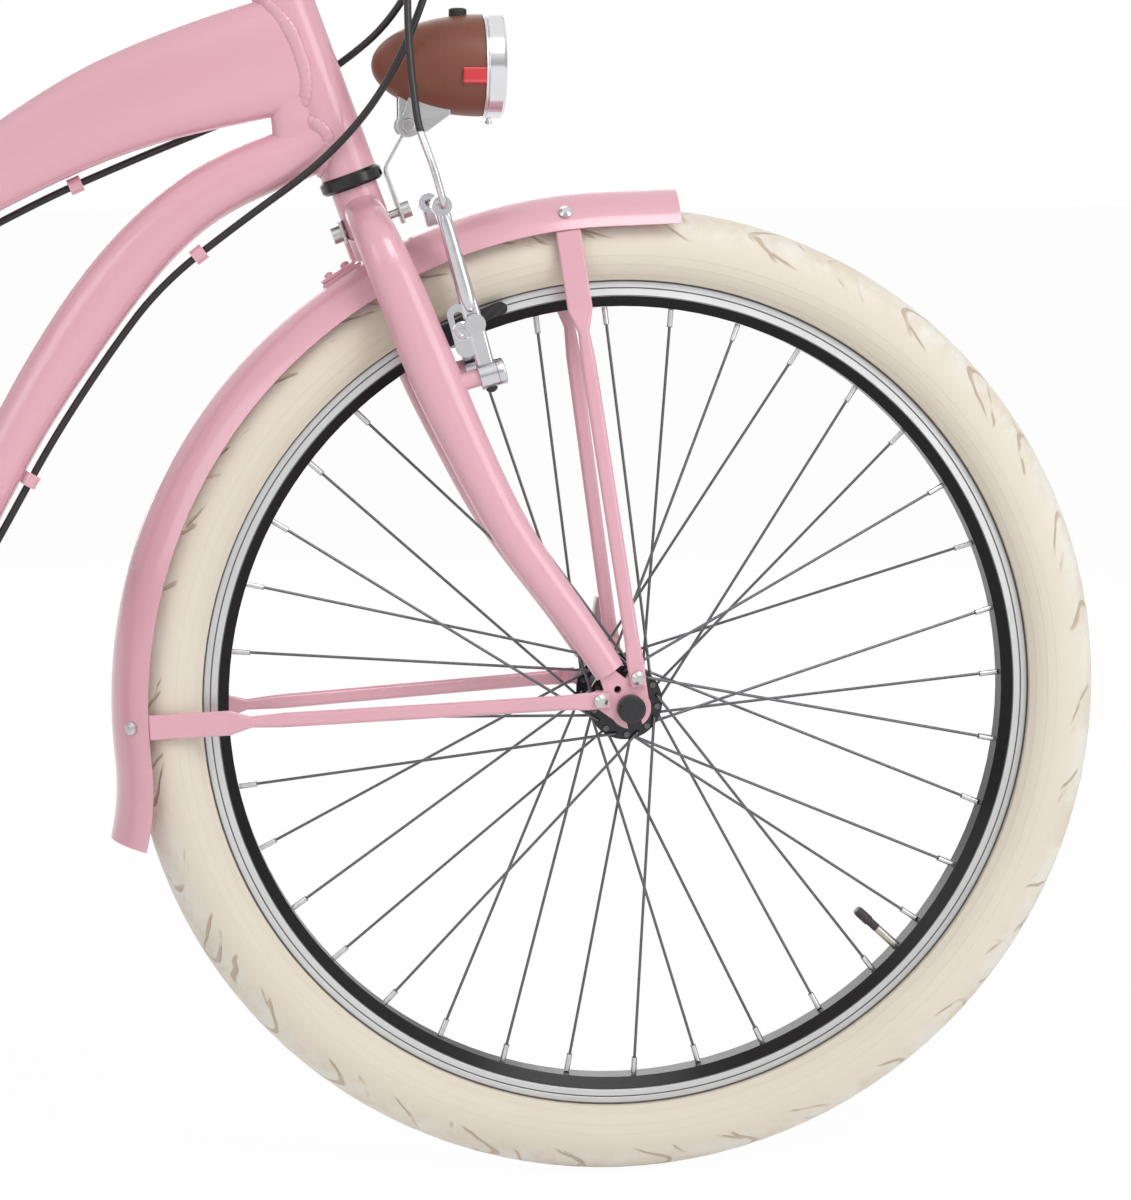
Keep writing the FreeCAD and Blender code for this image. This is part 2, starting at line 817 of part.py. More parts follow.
def head_tube():
    outer = cylinder("head_tube_outside", D.head_tube_radius, D.head_tube_length, steer(head_low), STEER_UP)
    bore = cylinder("head_tube_inside", D.head_tube_bore, D.head_tube_length, steer(head_low), STEER_UP)
    return node("head_tube", cut("head_tube_body", outer, bore))


def headset():
    """A cup at each end of the head tube, each with its ring of bearings."""
    pieces = []
    for name, base, way in (("lower", steer(head_low), -STEER_UP), ("upper", steer(head_top), STEER_UP)):
        rise = D.cup_height
        cup = [(0, D.bearing_radius), (0, D.cup_radius - D.edge_break), (D.edge_break, D.cup_radius),
               (rise - D.edge_break, D.cup_radius), (rise, D.cup_radius - D.edge_break),
               (rise, D.bearing_radius)]
        inner = D.steerer_radius + D.running_gap
        ring = [(D.edge_break, inner), (D.edge_break, D.bearing_radius),
                (rise - D.fit_gap, D.bearing_radius),
                (rise - D.fit_gap, inner)]
        pieces.append(turned(name + "_cup", cup, base, way))
        pieces.append(turned(name + "_bearing", ring, base, way))
    return node("headset", group("headset_set", *pieces))


CUP_STACK_SHARE = 1.5


def fork_steerer():
    """Steerer tube and crown in one, drilled for the crown bolt, with the locknut as a second solid."""
    crown_top = D.cup_height / 2 + D.fit_gap
    crown_low = crown_top + D.crown_length
    top = D.cup_height * CUP_STACK_SHARE + D.head_tube_length + D.steerer_rise
    outline = [
        (-crown_low, 0), (-crown_low, D.crown_radius - D.edge_break * 2),
        (-crown_low + D.edge_break * 2, D.crown_radius), (-crown_top, D.crown_radius),
        (-crown_top, D.steerer_radius), (top, D.steerer_radius), (top, D.steerer_bore),
        (0, D.steerer_bore), (0, 0),
    ]
    column = turned("steerer_column", outline, RING, STEER_UP)
    base = steer(crown_bolt_up, -S.crown_radius - S.overrun)
    drill = cylinder("crown_bolt_hole", D.crown_bolt_radius + D.running_gap,
                     (D.crown_radius + D.overrun) * 2, base, STEER_FORWARD)
    low = D.cup_height * CUP_STACK_SHARE + D.head_tube_length + D.fit_gap
    high = low + D.locknut_height
    bore = D.steerer_radius + D.running_gap
    nut = [(low, bore), (low, D.locknut_radius), (high - D.edge_break, D.locknut_radius),
           (high, D.locknut_radius - D.edge_break), (high, bore)]
    locknut = turned("headset_locknut", nut, RING, STEER_UP)
    return node("fork_steerer", group("fork_steerer_set", cut("steerer_body", column, drill), locknut))


# Stations of a fork leg: shares of crown height, rake, spread, depth and width.
LEG_RISE_SHARES = (0.954, 0.929, 0.893, 0.843, 0.787, 0.642, 0.497, 0.363, 0.223, 0.071)
LEG_RAKE_SHARES = (0.0, 0.0, 0.01, 0.02, 0.04, 0.08, 0.17, 0.31, 0.60, 0.91)
LEG_SIDE_SHARES = (0.16, 0.48, 0.83, 0.985, 1.0, 1.0, 1.0, 1.0, 1.03, 1.07)
LEG_DEPTH_SHARES = (0.70, 0.80, 0.86, 0.91, 0.95, 1.0, 0.88, 0.79, 0.70, 0.62)
LEG_WIDTH_SHARES = (0.80, 0.96, 1.0, 1.0, 0.98, 0.96, 0.90, 0.84, 0.76, 0.64)
LEG_STATIONS = 15
EYELET_ANGLES = (164.4, 77.9)
FREE_EYELET_ANGLE = 124.4
FREE_EYELET_SHARE = 0.72


def leg_loft(side):
    points = []
    for rise, rake, spread in zip(LEG_RISE_SHARES, LEG_RAKE_SHARES, LEG_SIDE_SHARES):
        up = rise * S.crown_height - S.crown_height
        points.append(steer(up, rake * S.fork_rake, side * spread * S.leg_spread))
    depths = [S.leg_depth * share for share in LEG_DEPTH_SHARES]
    widths = [S.leg_width * share for share in LEG_WIDTH_SHARES]
    spots, (depths, widths) = even_stations(points, (depths, widths), LEG_STATIONS)
    wires = []
    for index, point in enumerate(spots):
        place = axes_at(point, STEER_FORWARD, along(spots, index))
        wires.append(oval_section(depths[index], widths[index], place))
    return Part.makeLoft(wires, True, False)


def eyelet_plate(centre, heading, inner, thickness, side, spots, slot_angle):
    """A dropout: a disc round the axle and a lug for each hole, with a slot that lets the axle out."""
    middle = side * (inner + thickness / 2)
    hub = disc(centre + X_AXIS * middle, X_AXIS, S.dropout_radius, thickness)
    lugs = []
    for angle, radius in spots:
        spot = round_wheel(centre, heading, angle, radius, middle)
        lugs.append(disc(spot, X_AXIS, S.eyelet_rim, thickness))
        lugs.append(link_plate(centre + X_AXIS * middle, spot, S.dropout_radius, S.eyelet_rim, thickness))
    solid = hub.fuse(lugs).removeSplitter()
    way = round_wheel(ORIGIN, heading, slot_angle, 1.0, 0.0)
    slot_width = 2 * (S.axle_radius + S.running_gap)
    reach = S.dropout_radius + S.overrun
    slot = Part.makeBox(slot_width, thickness * 2, reach)
    slot.translate(V(-slot_width / 2, -thickness, 0))
    slot.Placement = axes_at(centre + X_AXIS * middle, way.cross(X_AXIS), way).multiply(slot.Placement)
    eye = disc(centre + X_AXIS * middle, X_AXIS, slot_width / 2, thickness * 2)
    return solid.cut([slot, eye])


def link_plate(first, second, first_radius, second_radius, thickness):
    """The flat web between two discs, as wide as each disc at its end."""
    way = unit(second - first)
    across = way.cross(X_AXIS)
    corners = [first + across * first_radius, second + across * second_radius,
               second - across * second_radius, first - across * first_radius]
    corners = [corner - X_AXIS * (thickness / 2) for corner in corners]
    return Part.Face(Part.makePolygon(corners + corners[:1])).extrude(X_AXIS * thickness)


def drilled(solid, centre, heading, spots, radius, side):
    """Eyelet holes through a dropout."""
    tools = []
    for angle, place in spots:
        spot = round_wheel(centre, heading, angle, place, side)
        tools.append(disc(spot, X_AXIS, radius, S.overrun * 2))
    return solid.cut(tools)


EYELET_SHARE = 1.25
eyelet_circle = S.dropout_radius + S.eyelet_rim * EYELET_SHARE
STAY_SPOTS = [(angle, eyelet_circle) for angle in EYELET_ANGLES]
FREE_SPOT = (FREE_EYELET_ANGLE, eyelet_circle * FREE_EYELET_SHARE)

# The brake boss stands on the fork leg, at its place from the axle.
FRONT_BOSS_ANGLE = 15.5
front_boss_rise = math.radians(FRONT_BOSS_ANGLE)
FRONT_BOSS_WAY = V(0, -math.cos(front_boss_rise), math.sin(front_boss_rise))
boss_rake = LEG_RAKE_SHARES[5] * S.fork_rake
boss_up = math.sqrt(S.boss_radius_place ** 2 - (S.fork_rake - boss_rake) ** 2) - S.crown_height
crown_bolt_up = -head_low - S.crown_bolt_drop


def brake_boss(start, way):
    """The stub that a brake arm turns on, with the head of its bolt."""
    stub = rod(start, start + way * S.boss_reach, S.boss_radius)
    end = start + way * (S.boss_reach + S.boss_cap / 2)
    return stub.fuse(disc(end, way, S.arm_hub_radius - S.fit_gap, S.boss_cap))


def fork_leg(side):
    """One leg with its brake boss and its dropout."""
    crown = Part.makeCylinder(S.crown_radius, S.crown_length + S.overrun, steer(-head_low), -STEER_UP)
    boss_start = steer(boss_up, boss_rake, side * S.leg_spread)
    boss = brake_boss(boss_start, FRONT_BOSS_WAY)
    spots = STAY_SPOTS + [(FREE_EYELET_ANGLE, eyelet_circle * EYELET_SHARE)]
    tip = eyelet_plate(FRONT, -1, S.front_inner_half, S.dropout_thickness, side, spots, DROPOUT_SLOT)
    tip = drilled(tip, FRONT, -1, STAY_SPOTS + [FREE_SPOT], S.eyelet_radius,
                  side * (S.front_inner_half + S.dropout_thickness / 2))
    return leg_loft(side).cut(crown).fuse([boss, tip]).removeSplitter()


DROPOUT_SLOT = -75.0

head_tube()
headset()
fork_steerer()
node("fork_legs", feature("fork_leg_pair", Part.makeCompound([fork_leg(1), fork_leg(-1)])))


# Frame tubes

def tube_loft(start, end, runs, drops, depths, widths, power):
    """A tube in the bicycle's middle plane through stations given as shares of its run and drop."""
    span = end - start
    points = [start + V(0, span.y * run, span.z * drop) for run, drop in zip(runs, drops)]
    wires = []
    for index, point in enumerate(points):
        spot = axes_at(point, X_AXIS, along(points, index))
        wires.append(smooth_section(widths[index], depths[index], spot, power))
    return Part.makeLoft(wires, True, False)


TOP_RUN_SHARES = (0.0, 0.0745, 0.1676, 0.2669, 0.4056, 0.7024, 1.0)
TOP_DROP_SHARES = (0.0, 0.0384, 0.0904, 0.1625, 0.3085, 0.6507, 1.0)
TOP_DEPTH_SHARES = (1.0, 0.975, 0.90, 0.815, 0.665, 0.545, 0.47)
TOP_WIDTH_SHARES = (1.0, 1.0, 1.0, 0.98, 0.95, 0.88, 0.80)
DOWN_RUN_SHARES = (0.0, 0.0967, 0.214, 0.3149, 0.404, 0.4909, 0.5589, 0.6363, 0.7419, 0.8592, 1.0)
DOWN_DROP_SHARES = (0.0, 0.0472, 0.1048, 0.1947, 0.3088, 0.4435, 0.5668, 0.6959, 0.8111, 0.9055, 1.0)
TOP_POWER_SHARE = 0.62
DOWN_POWER_SHARE = 0.92
DOWN_DEPTH_SHARES = (0.92, 0.93, 0.95, 1.0, 1.0, 0.9, 0.86, 0.85, 0.85, 0.88, 0.9)

head_core = Part.makeCylinder(S.head_tube_radius, S.head_tube_length, steer(head_low), STEER_UP)
seat_core = Part.makeCylinder(S.seat_tube_radius, S.seat_tube_length, BRACKET, SEAT_UP)
shell_core = Part.makeCylinder(S.shell_radius, 2 * S.shell_half_width,
                               BRACKET - X_AXIS * S.shell_half_width, X_AXIS)
top_tube_widths = [S.top_tube_width * share for share in TOP_WIDTH_SHARES]
top_tube_depths = [S.top_tube_depth * share for share in TOP_DEPTH_SHARES]
down_tube_depths = [S.down_tube_depth * share for share in DOWN_DEPTH_SHARES]
down_tube_widths = [S.down_tube_width] * len(DOWN_RUN_SHARES)
seat_joint = BRACKET + SEAT_UP * S.seat_joint_height
top_tube_solid = tube_loft(steer(S.top_tube_lift), seat_joint, TOP_RUN_SHARES, TOP_DROP_SHARES,
                           top_tube_depths, top_tube_widths, TOP_POWER_SHARE)
top_tube_solid = top_tube_solid.cut([head_core, seat_core])
down_tube_solid = tube_loft(steer(S.down_tube_lift), BRACKET, DOWN_RUN_SHARES, DOWN_DROP_SHARES,
                            down_tube_depths, down_tube_widths, DOWN_POWER_SHARE)
down_tube_solid = down_tube_solid.cut([head_core, seat_core, shell_core, top_tube_solid])
node("top_tube", feature("top_tube_body", top_tube_solid))
node("down_tube", feature("down_tube_body", down_tube_solid))


def seat_tube():
    outer = cylinder("seat_tube_outside", D.seat_tube_radius, D.seat_tube_length, BRACKET, SEAT_UP)
    bore = cylinder("seat_tube_inside", D.seat_tube_bore, D.seat_tube_length, BRACKET, SEAT_UP)
    shell = cylinder("seat_tube_foot", D.shell_radius, D.shell_half_width * 2,
                     BRACKET - X_AXIS * S.shell_half_width, X_AXIS)
    return node("seat_tube", cut("seat_tube_body", outer, bore, shell))


def bottom_bracket_shell():
    base = BRACKET - X_AXIS * S.shell_half_width
    outer = cylinder("shell_outside", D.shell_radius, D.shell_half_width * 2, base, X_AXIS)
    bore = cylinder("shell_inside", D.shell_bore, D.shell_half_width * 2, base, X_AXIS)
    face = D.shell_half_width
    inner = D.spindle_radius + D.running_gap
    seat = D.shell_bore - D.running_gap
    cup = [(face - D.cup_depth, inner), (face - D.cup_depth, seat), (face + D.running_gap, seat),
           (face + D.running_gap, D.shell_radius), (face + D.cup_lip, D.shell_radius),
           (face + D.cup_lip, inner)]
    cups = [turned("bracket_cup_left", cup, BRACKET, X_AXIS),
            turned("bracket_cup_right", cup, BRACKET, -X_AXIS)]
    return node("bottom_bracket_shell", group("bracket_shell_set", cut("shell_body", outer, bore), *cups))


seat_tube()
bottom_bracket_shell()

CHAIN_STAY_RUN_SHARES = (0.0, 0.19, 0.262, 0.56, 0.90, 0.955)
CHAIN_STAY_SIDE_SHARES = (0.37, 0.554, 0.69, 0.86, 1.04, 1.04)
SEAT_STAY_REACH_SHARES = (1.42, 1.0, 0.36, 0.096)
SEAT_STAY_SIDE_SHARES = (0.20, 0.94, 1.0, 1.21, 1.37)
REAR_STAY_SPOTS = [(75.0, eyelet_circle), (25.0, eyelet_circle)]
REAR_FREE_SPOT = (-52.0, eyelet_circle)
REAR_SLOT = -6.0
seat_stay_top = BRACKET + SEAT_UP * S.seat_stay_height
seat_stay_way = unit(seat_stay_top - REAR)
chain_stay_way = unit(BRACKET - REAR)
STAY_LUG_SHARE = 1.6


def way_angle(way):
    """The angle of a direction, rising from the rear."""
    return math.degrees(math.atan2(way.z, way.y))


def rear_dropout(side):
    lugs = [(way_angle(seat_stay_way), eyelet_circle * STAY_LUG_SHARE)]
    lugs.append((way_angle(chain_stay_way), eyelet_circle * STAY_LUG_SHARE))
    spots = REAR_STAY_SPOTS + [REAR_FREE_SPOT]
    solid = eyelet_plate(REAR, 1, S.rear_inner_half, S.rear_plate, side, spots + lugs, REAR_SLOT)
    return drilled(solid, REAR, 1, spots, S.eyelet_radius, side * (S.rear_inner_half + S.rear_plate / 2))


def chain_stay(side):
    points = []
    for run, spread in zip(CHAIN_STAY_RUN_SHARES, CHAIN_STAY_SIDE_SHARES):
        points.append(BRACKET + (REAR - BRACKET) * run + X_AXIS * (side * spread * S.rear_inner_half))
    tube, _, _ = round_bar(points, S.chain_stay_radius)
    span = S.shell_half_width + S.cup_lip + S.overrun
    return tube.cut(Part.makeCylinder(S.shell_radius, 2 * span, BRACKET - X_AXIS * span, X_AXIS))


def seat_stay(side):
    points = [seat_stay_top + X_AXIS * (side * SEAT_STAY_SIDE_SHARES[0] * S.leg_spread)]
    for reach, spread in zip(SEAT_STAY_REACH_SHARES, SEAT_STAY_SIDE_SHARES[1:]):
        points.append(REAR + seat_stay_way * (reach * S.boss_radius_place)
                      + X_AXIS * (side * spread * S.leg_spread))
    tube, _, _ = round_bar(points, S.seat_stay_radius)
    return tube.cut(seat_core)


REAR_BOSS_WAY = X_AXIS.cross(seat_stay_way)

# The kickstand turns in one plane, from leaning out and down to lying back along the stay.
STAND_SIDE_SHARE = 0.95
STAND_FOLD_SHARES = (0.06, 0.99, -0.12)
stand_stay_spot = REAR + chain_stay_way * S.stand_ahead + X_AXIS * (STAND_SIDE_SHARE * S.rear_inner_half)
STAND_DOWN = unit(V(S.stand_spread, S.stand_lean, S.stand_foot_lift - stand_stay_spot.z))
STAND_BACK = unit(V(*STAND_FOLD_SHARES))
STAND_AXIS = unit(STAND_DOWN.cross(STAND_BACK))
STAND_TURN = math.degrees(STAND_DOWN.getAngle(STAND_BACK))
stand_pivot = stand_stay_spot + STAND_AXIS * S.stand_pivot_out
stand_hub_face = S.stand_hub_length / 2 + S.fit_gap
stand_pin_end = stand_pivot + STAND_AXIS * stand_hub_face
fender_seat = fender_radius + S.bridge_radius + S.fit_gap


def rear_triangle():
    """Stays on both sides with their dropouts and bosses, and a bridge across each pair."""
    chain_pair = []
    seat_pair = []
    for side in (1, -1):
        drop_plate = rear_dropout(side)
        chain_pair.append(chain_stay(side).fuse(drop_plate).removeSplitter())
        boss_start = REAR + seat_stay_way * S.boss_radius_place + X_AXIS * (side * S.leg_spread)
        boss = brake_boss(boss_start, REAR_BOSS_WAY)
        seat_pair.append(seat_stay(side).cut([drop_plate, chain_pair[-1]]).fuse(boss))
    for pair, way in ((chain_pair, chain_stay_way), (seat_pair, seat_stay_way)):
        middle = REAR + way * fender_seat
        bridge = rod(middle - X_AXIS * S.leg_spread, middle + X_AXIS * S.leg_spread, S.bridge_radius)
        pieces = bridge.cut(pair).Solids
        pair.append(min(pieces, key=lambda solid: abs(solid.CenterOfMass.x)))
    stand_root = rod(stand_stay_spot, stand_pivot - STAND_AXIS * stand_hub_face, S.stand_hub_radius)
    stand_pin = rod(stand_pivot - STAND_AXIS * (2 * stand_hub_face), stand_pin_end, S.stand_pin_radius)
    stand_cap = rod(stand_pin_end, stand_pin_end + STAND_AXIS * S.stand_pin_head,
                    S.stand_hub_radius - S.edge_break)
    chain_pair.append(stand_root.fuse([stand_pin, stand_cap]).cut(chain_pair[0]))
    pieces = chain_pair[-1].Solids
    chain_pair[-1] = max(pieces, key=lambda solid: solid.Volume)
    node("chain_stays", feature("chain_stay_set", Part.makeCompound(chain_pair)))
    node("seat_stays", feature("seat_stay_set", Part.makeCompound(seat_pair)))


rear_triangle()


# Fenders and their stays

fender_arc_radius = (S.fender_half_width ** 2 + S.fender_depth ** 2) / (2 * S.fender_depth)
fender_arc_half = math.asin(S.fender_half_width / fender_arc_radius)


def fender_section(point, outward, way):
    """A thin curved band: two arcs about one centre, closed by the sheet's edges."""
    centre = point - outward * fender_arc_radius
    wires = []
    for radius in (fender_arc_radius, fender_arc_radius - S.fender_sheet):
        ends = []
        for turn in (-fender_arc_half, 0.0, fender_arc_half):
            ends.append(centre + X_AXIS * (radius * math.sin(turn)) + outward * (radius * math.cos(turn)))
        wires.append(ends)
    outer, inner = wires
    edges = [Part.Arc(*outer).toShape(), Part.LineSegment(outer[2], inner[2]).toShape(),
             Part.Arc(*reversed(inner)).toShape(), Part.LineSegment(inner[0], outer[0]).toShape()]
    return Part.Wire(edges)


def fender(label, centre, first_angle, tip):
    """A band that follows the tyre from its first angle, rising from the front, to its flared tail."""
    last_angle = FULL_TURN / 2 + TAIL_ANGLE
    middle_angle = (first_angle + last_angle) / 2
    first, middle, last = [round_wheel(centre, -1, angle, fender_radius, 0.0)
                           for angle in (first_angle, middle_angle, last_angle)]
    first_out = unit(first - centre)
    last_out = unit(last - centre)
    first_way = first_out.cross(X_AXIS)
    last_way = last_out.cross(X_AXIS)
    edges = []
    start = first
    if tip:
        start = first - first_way * tip
        edges.append(Part.LineSegment(start, first).toShape())
    edges.append(Part.Arc(first, middle, last).toShape())
    flare = []
    for turn in (flare_rad / 2, flare_rad):
        flare.append(last + last_way * (S.fender_flare * math.sin(turn))
                     + last_out * (S.fender_flare * (1 - math.cos(turn))))
    edges.append(Part.Arc(last, flare[0], flare[1]).toShape())
    solid = swept(Part.Wire(edges), fender_section(start, first_out, first_way))
    return node(label, feature(label + "_band", solid))


FENDER_FRONT_ANGLE = 92.1
REAR_FENDER_ANGLE = -6.0
front_band = fender("front_fender", FRONT, FENDER_FRONT_ANGLE, S.fender_tip)
rear_band = fender("rear_fender", REAR, REAR_FENDER_ANGLE, 0.0)

# Stations of a stay from the fender to the axle: shares of its length, widths and thickness.
STAY_RUN_SHARES = (0.0, 0.17, 0.22, 0.29, 0.90, 0.95, 1.0)
STAY_WIDTH_SHARES = (1.0, 1.0, 0.46, 0.6, 0.6, 0.7, 0.62)
STAY_THICK_SHARES = (0.75, 0.75, 1.4, 1.5, 1.5, 0.75, 0.75)
STAY_TOP_SHARE = 0.62
STAY_KNEE_SHARE = -0.06
STAY_SCREW_SHARE = 0.45
STAY_CLEAR_SHARE = 0.1


def fender_side(height, inset):
    """How far the fender stands out sideways at a height above its edge, or at a depth under its face."""
    rise = fender_arc_radius - S.fender_depth + height
    return math.sqrt((fender_arc_radius - inset) ** 2 - rise ** 2)


def fender_stay(tab, start, end):
    """A tube flattened to a strap at both ends, with a tab bent to lie inside the fender."""
    way = unit(end - start)
    places = [axes_at(tab, X_AXIS, unit(start - tab))]
    for run in STAY_RUN_SHARES:
        places.append(axes_at(start + (end - start) * run, X_AXIS, way))
    widths = STAY_WIDTH_SHARES[:1] + STAY_WIDTH_SHARES
    thicks = STAY_THICK_SHARES[:1] + STAY_THICK_SHARES
    wires = []
    for spot, width, thick in zip(places, widths, thicks):
        wires.append(rounded_section(S.stay_thickness * thick, S.stay_end_width * width, S.stay_thickness,
                                     spot))
    return Part.makeLoft(wires, True, True)


def screw(seat, way):
    """A low round screw head with a shallow cone."""
    half = S.stay_screw_height / 2
    head = Part.makeCylinder(S.stay_screw_radius, half, seat, way)
    crown = Part.makeCone(S.stay_screw_radius, S.stay_screw_radius / 2, half, seat + way * half, way)
    return head.fuse(crown)


def stay_pair(centre, heading, fender_angles, spots, plate_face, band):
    """The stays and screws of one wheel, both sides, with their tabs under the fender's band."""
    bars = []
    heads = []
    edge = fender_radius - S.fender_depth
    strap = S.stay_strap / 2 + S.fit_gap
    plates = disc(centre, X_AXIS, fender_radius * STAY_CLEAR_SHARE, 2 * (plate_face + S.running_gap))
    top = S.fender_depth * STAY_TOP_SHARE
    knee = S.fender_depth * STAY_KNEE_SHARE
    bolt_rise = S.fender_depth * STAY_SCREW_SHARE
    inset = S.fender_sheet + strap
    for side in (1, -1):
        for angle, (spot_angle, circle) in zip(fender_angles, spots):
            tab = round_wheel(centre, heading, angle, edge + top, side * fender_side(top, inset))
            start = round_wheel(centre, heading, angle, edge + knee, side * fender_side(knee, inset))
            spot = round_wheel(centre, heading, spot_angle, circle, side * (plate_face + strap))
            end = spot + unit(spot - start) * S.eyelet_rim
            bar = fender_stay(tab, start, end).cut(plates)
            bars.append(bar)
            bolt = round_wheel(centre, heading, angle, edge + bolt_rise, side * fender_side(bolt_rise, 0.0))
            middle = round_wheel(centre, heading, angle, fender_radius - fender_arc_radius, 0.0)
            way = unit(bolt - middle)
            shank = rod(bolt - way * (S.stay_strap * 3 / 2), bolt, S.stay_screw_radius / 2)
            heads.append(screw(bolt, way).fuse(shank).cut([bar, band]))
            face = X_AXIS * (side * strap)
            heads.append(screw(spot + face, X_AXIS * side).cut(bar))
    return bars, heads


FRONT_STAY_ANGLES = (181.9, 97.0)
REAR_STAY_ANGLES = (72.0, 20.0)
front_bars, front_heads = stay_pair(FRONT, -1, FRONT_STAY_ANGLES, STAY_SPOTS,
                                    S.front_inner_half + S.dropout_thickness, front_band.Shape)
rear_bars, rear_heads = stay_pair(REAR, 1, REAR_STAY_ANGLES, REAR_STAY_SPOTS,
                                  S.rear_inner_half + S.rear_plate, rear_band.Shape)
node("front_fender_stays", feature("front_stay_set", Part.makeCompound(front_bars)))
node("rear_fender_stays", feature("rear_stay_set", Part.makeCompound(rear_bars + rear_heads)))

REFLECTOR_ANGLE = 168.0


def rear_reflector():
    """A round reflector on a short foot at the back of the rear fender."""
    seat = round_wheel(REAR, -1, REFLECTOR_ANGLE, fender_radius + S.fit_gap, 0.0)
    out = unit(seat - REAR)
    foot = [(0, 0), (0, D.reflector_radius / 2), (D.reflector_depth / 2, D.reflector_radius - D.edge_break),
            (D.reflector_depth / 2, 0)]
    face = [(D.reflector_depth / 2, 0), (D.reflector_depth / 2, D.reflector_radius),
            (D.reflector_depth - D.edge_break, D.reflector_radius), (D.reflector_depth, 0)]
    pieces = [turned("reflector_foot", foot, seat, out), turned("reflector_face", face, seat, out)]
    return node("rear_reflector", group("rear_reflector_set", *pieces))


rear_reflector()


# Rim brakes

pad_place = (S.rim_edge_radius + S.rim_track_radius) / 2 - S.pad_gap / 2
ARM_RUN_SHARES = (0.0, 0.30, 0.55, 1.0)
ARM_WIDTH_SHARES = (1.05, 1.15, 1.0, 0.85)


def brake_arm(label, axle, boss_start, boss_way, side):
    """One arm on its boss: hub, blade with a slot, cable barrel, and the pad on its stud."""
    up_way = boss_way.cross(X_AXIS)
    if up_way.dot(boss_start - axle) < 0:
        up_way = -up_way
    pivot = boss_start + boss_way * (S.boss_reach - S.arm_hub_length / 2 - S.fit_gap)
    hub = disc(pivot, boss_way, S.arm_hub_radius, S.arm_hub_length)
    wires = []
    for run, width in zip(ARM_RUN_SHARES, ARM_WIDTH_SHARES):
        spot = axes_at(pivot + up_way * (run * S.arm_length), boss_way, up_way)
        wires.append(rounded_section(S.arm_width * width, S.arm_thickness, S.arm_thickness / 3, spot))
    blade = Part.makeLoft(wires, True, True)
    top = pivot + up_way * S.arm_length
    barrel = disc(top, X_AXIS, S.arm_width * BARREL_SHARE, S.arm_thickness * 2)
    flat = pivot - axle
    flat.x = 0
    ahead = flat.dot(boss_way)
    pad_up = math.sqrt(pad_place ** 2 - ahead ** 2) - flat.dot(up_way)
    spot = pivot + up_way * pad_up
    pad_back = S.rim_half_width + S.pad_gap + S.pad_thickness
    inner = V(side * pad_back, spot.y, spot.z)
    outer = V(side * (S.leg_spread + S.arm_thickness), spot.y, spot.z)
    stud = rod(inner, outer, S.pad_stud_radius)
    nut = disc(outer, X_AXIS, S.pad_stud_radius * 2, S.arm_thickness / 2)
    solid = hub.fuse([blade, barrel, stud, nut])
    bore = disc(pivot, boss_way, S.boss_radius + S.running_gap, S.arm_hub_length * 2)
    slot_low = spot + up_way * (S.pad_stud_radius * 3)
    slot = slot_tool(slot_low, slot_low + up_way * (S.arm_width * SLOT_LENGTH_SHARE),
                     S.pad_stud_radius * SLOT_RADIUS_SHARE)
    wire_way = disc(top, X_AXIS, S.wire_hole, S.arm_thickness * 4)
    solid = solid.cut([bore, slot, wire_way])
    radial = unit(V(0, spot.y - axle.y, spot.z - axle.z))
    place = axes_at(V(side * pad_back, spot.y, spot.z), radial.cross(X_AXIS), X_AXIS * -side)
    face = Part.Face(rounded_section(S.pad_length, S.pad_height, S.pad_height / 2, place))
    pad = face.extrude(X_AXIS * (-side * S.pad_thickness))
    return node(label, feature(label + "_set", Part.makeCompound([solid, pad])))


SLOT_LENGTH_SHARE = 1.5
SLOT_RADIUS_SHARE = 0.75
BARREL_SHARE = 0.6


def slot_tool(low, high, radius):
    """A round-ended slot across the bicycle."""
    reach = S.arm_thickness * 2
    ends = [disc(low, X_AXIS, radius, reach), disc(high, X_AXIS, radius, reach)]
    return ends[0].fuse([ends[1], link_plate(low, high, radius, radius, reach)])


for side, name in ((-1, "right"), (1, "left")):
    front_boss = steer(boss_up, boss_rake, side * S.leg_spread)
    brake_arm("front_brake_arm_" + name, FRONT, front_boss, FRONT_BOSS_WAY, side)
    rear_boss = REAR + seat_stay_way * S.boss_radius_place + X_AXIS * (side * S.leg_spread)
    brake_arm("rear_brake_arm_" + name, REAR, rear_boss, REAR_BOSS_WAY, side)


# Crown bolt, fender bracket and lamp bracket

def strip(points, width, thickness, bend):
    """A flat strip bent in the bicycle's middle plane."""
    path, _ = round_wire(points, bend)
    way = unit(points[1] - points[0])
    section = rounded_section(width, thickness, thickness / 3, axes_at(points[0], X_AXIS, way))
    return swept(path, section)


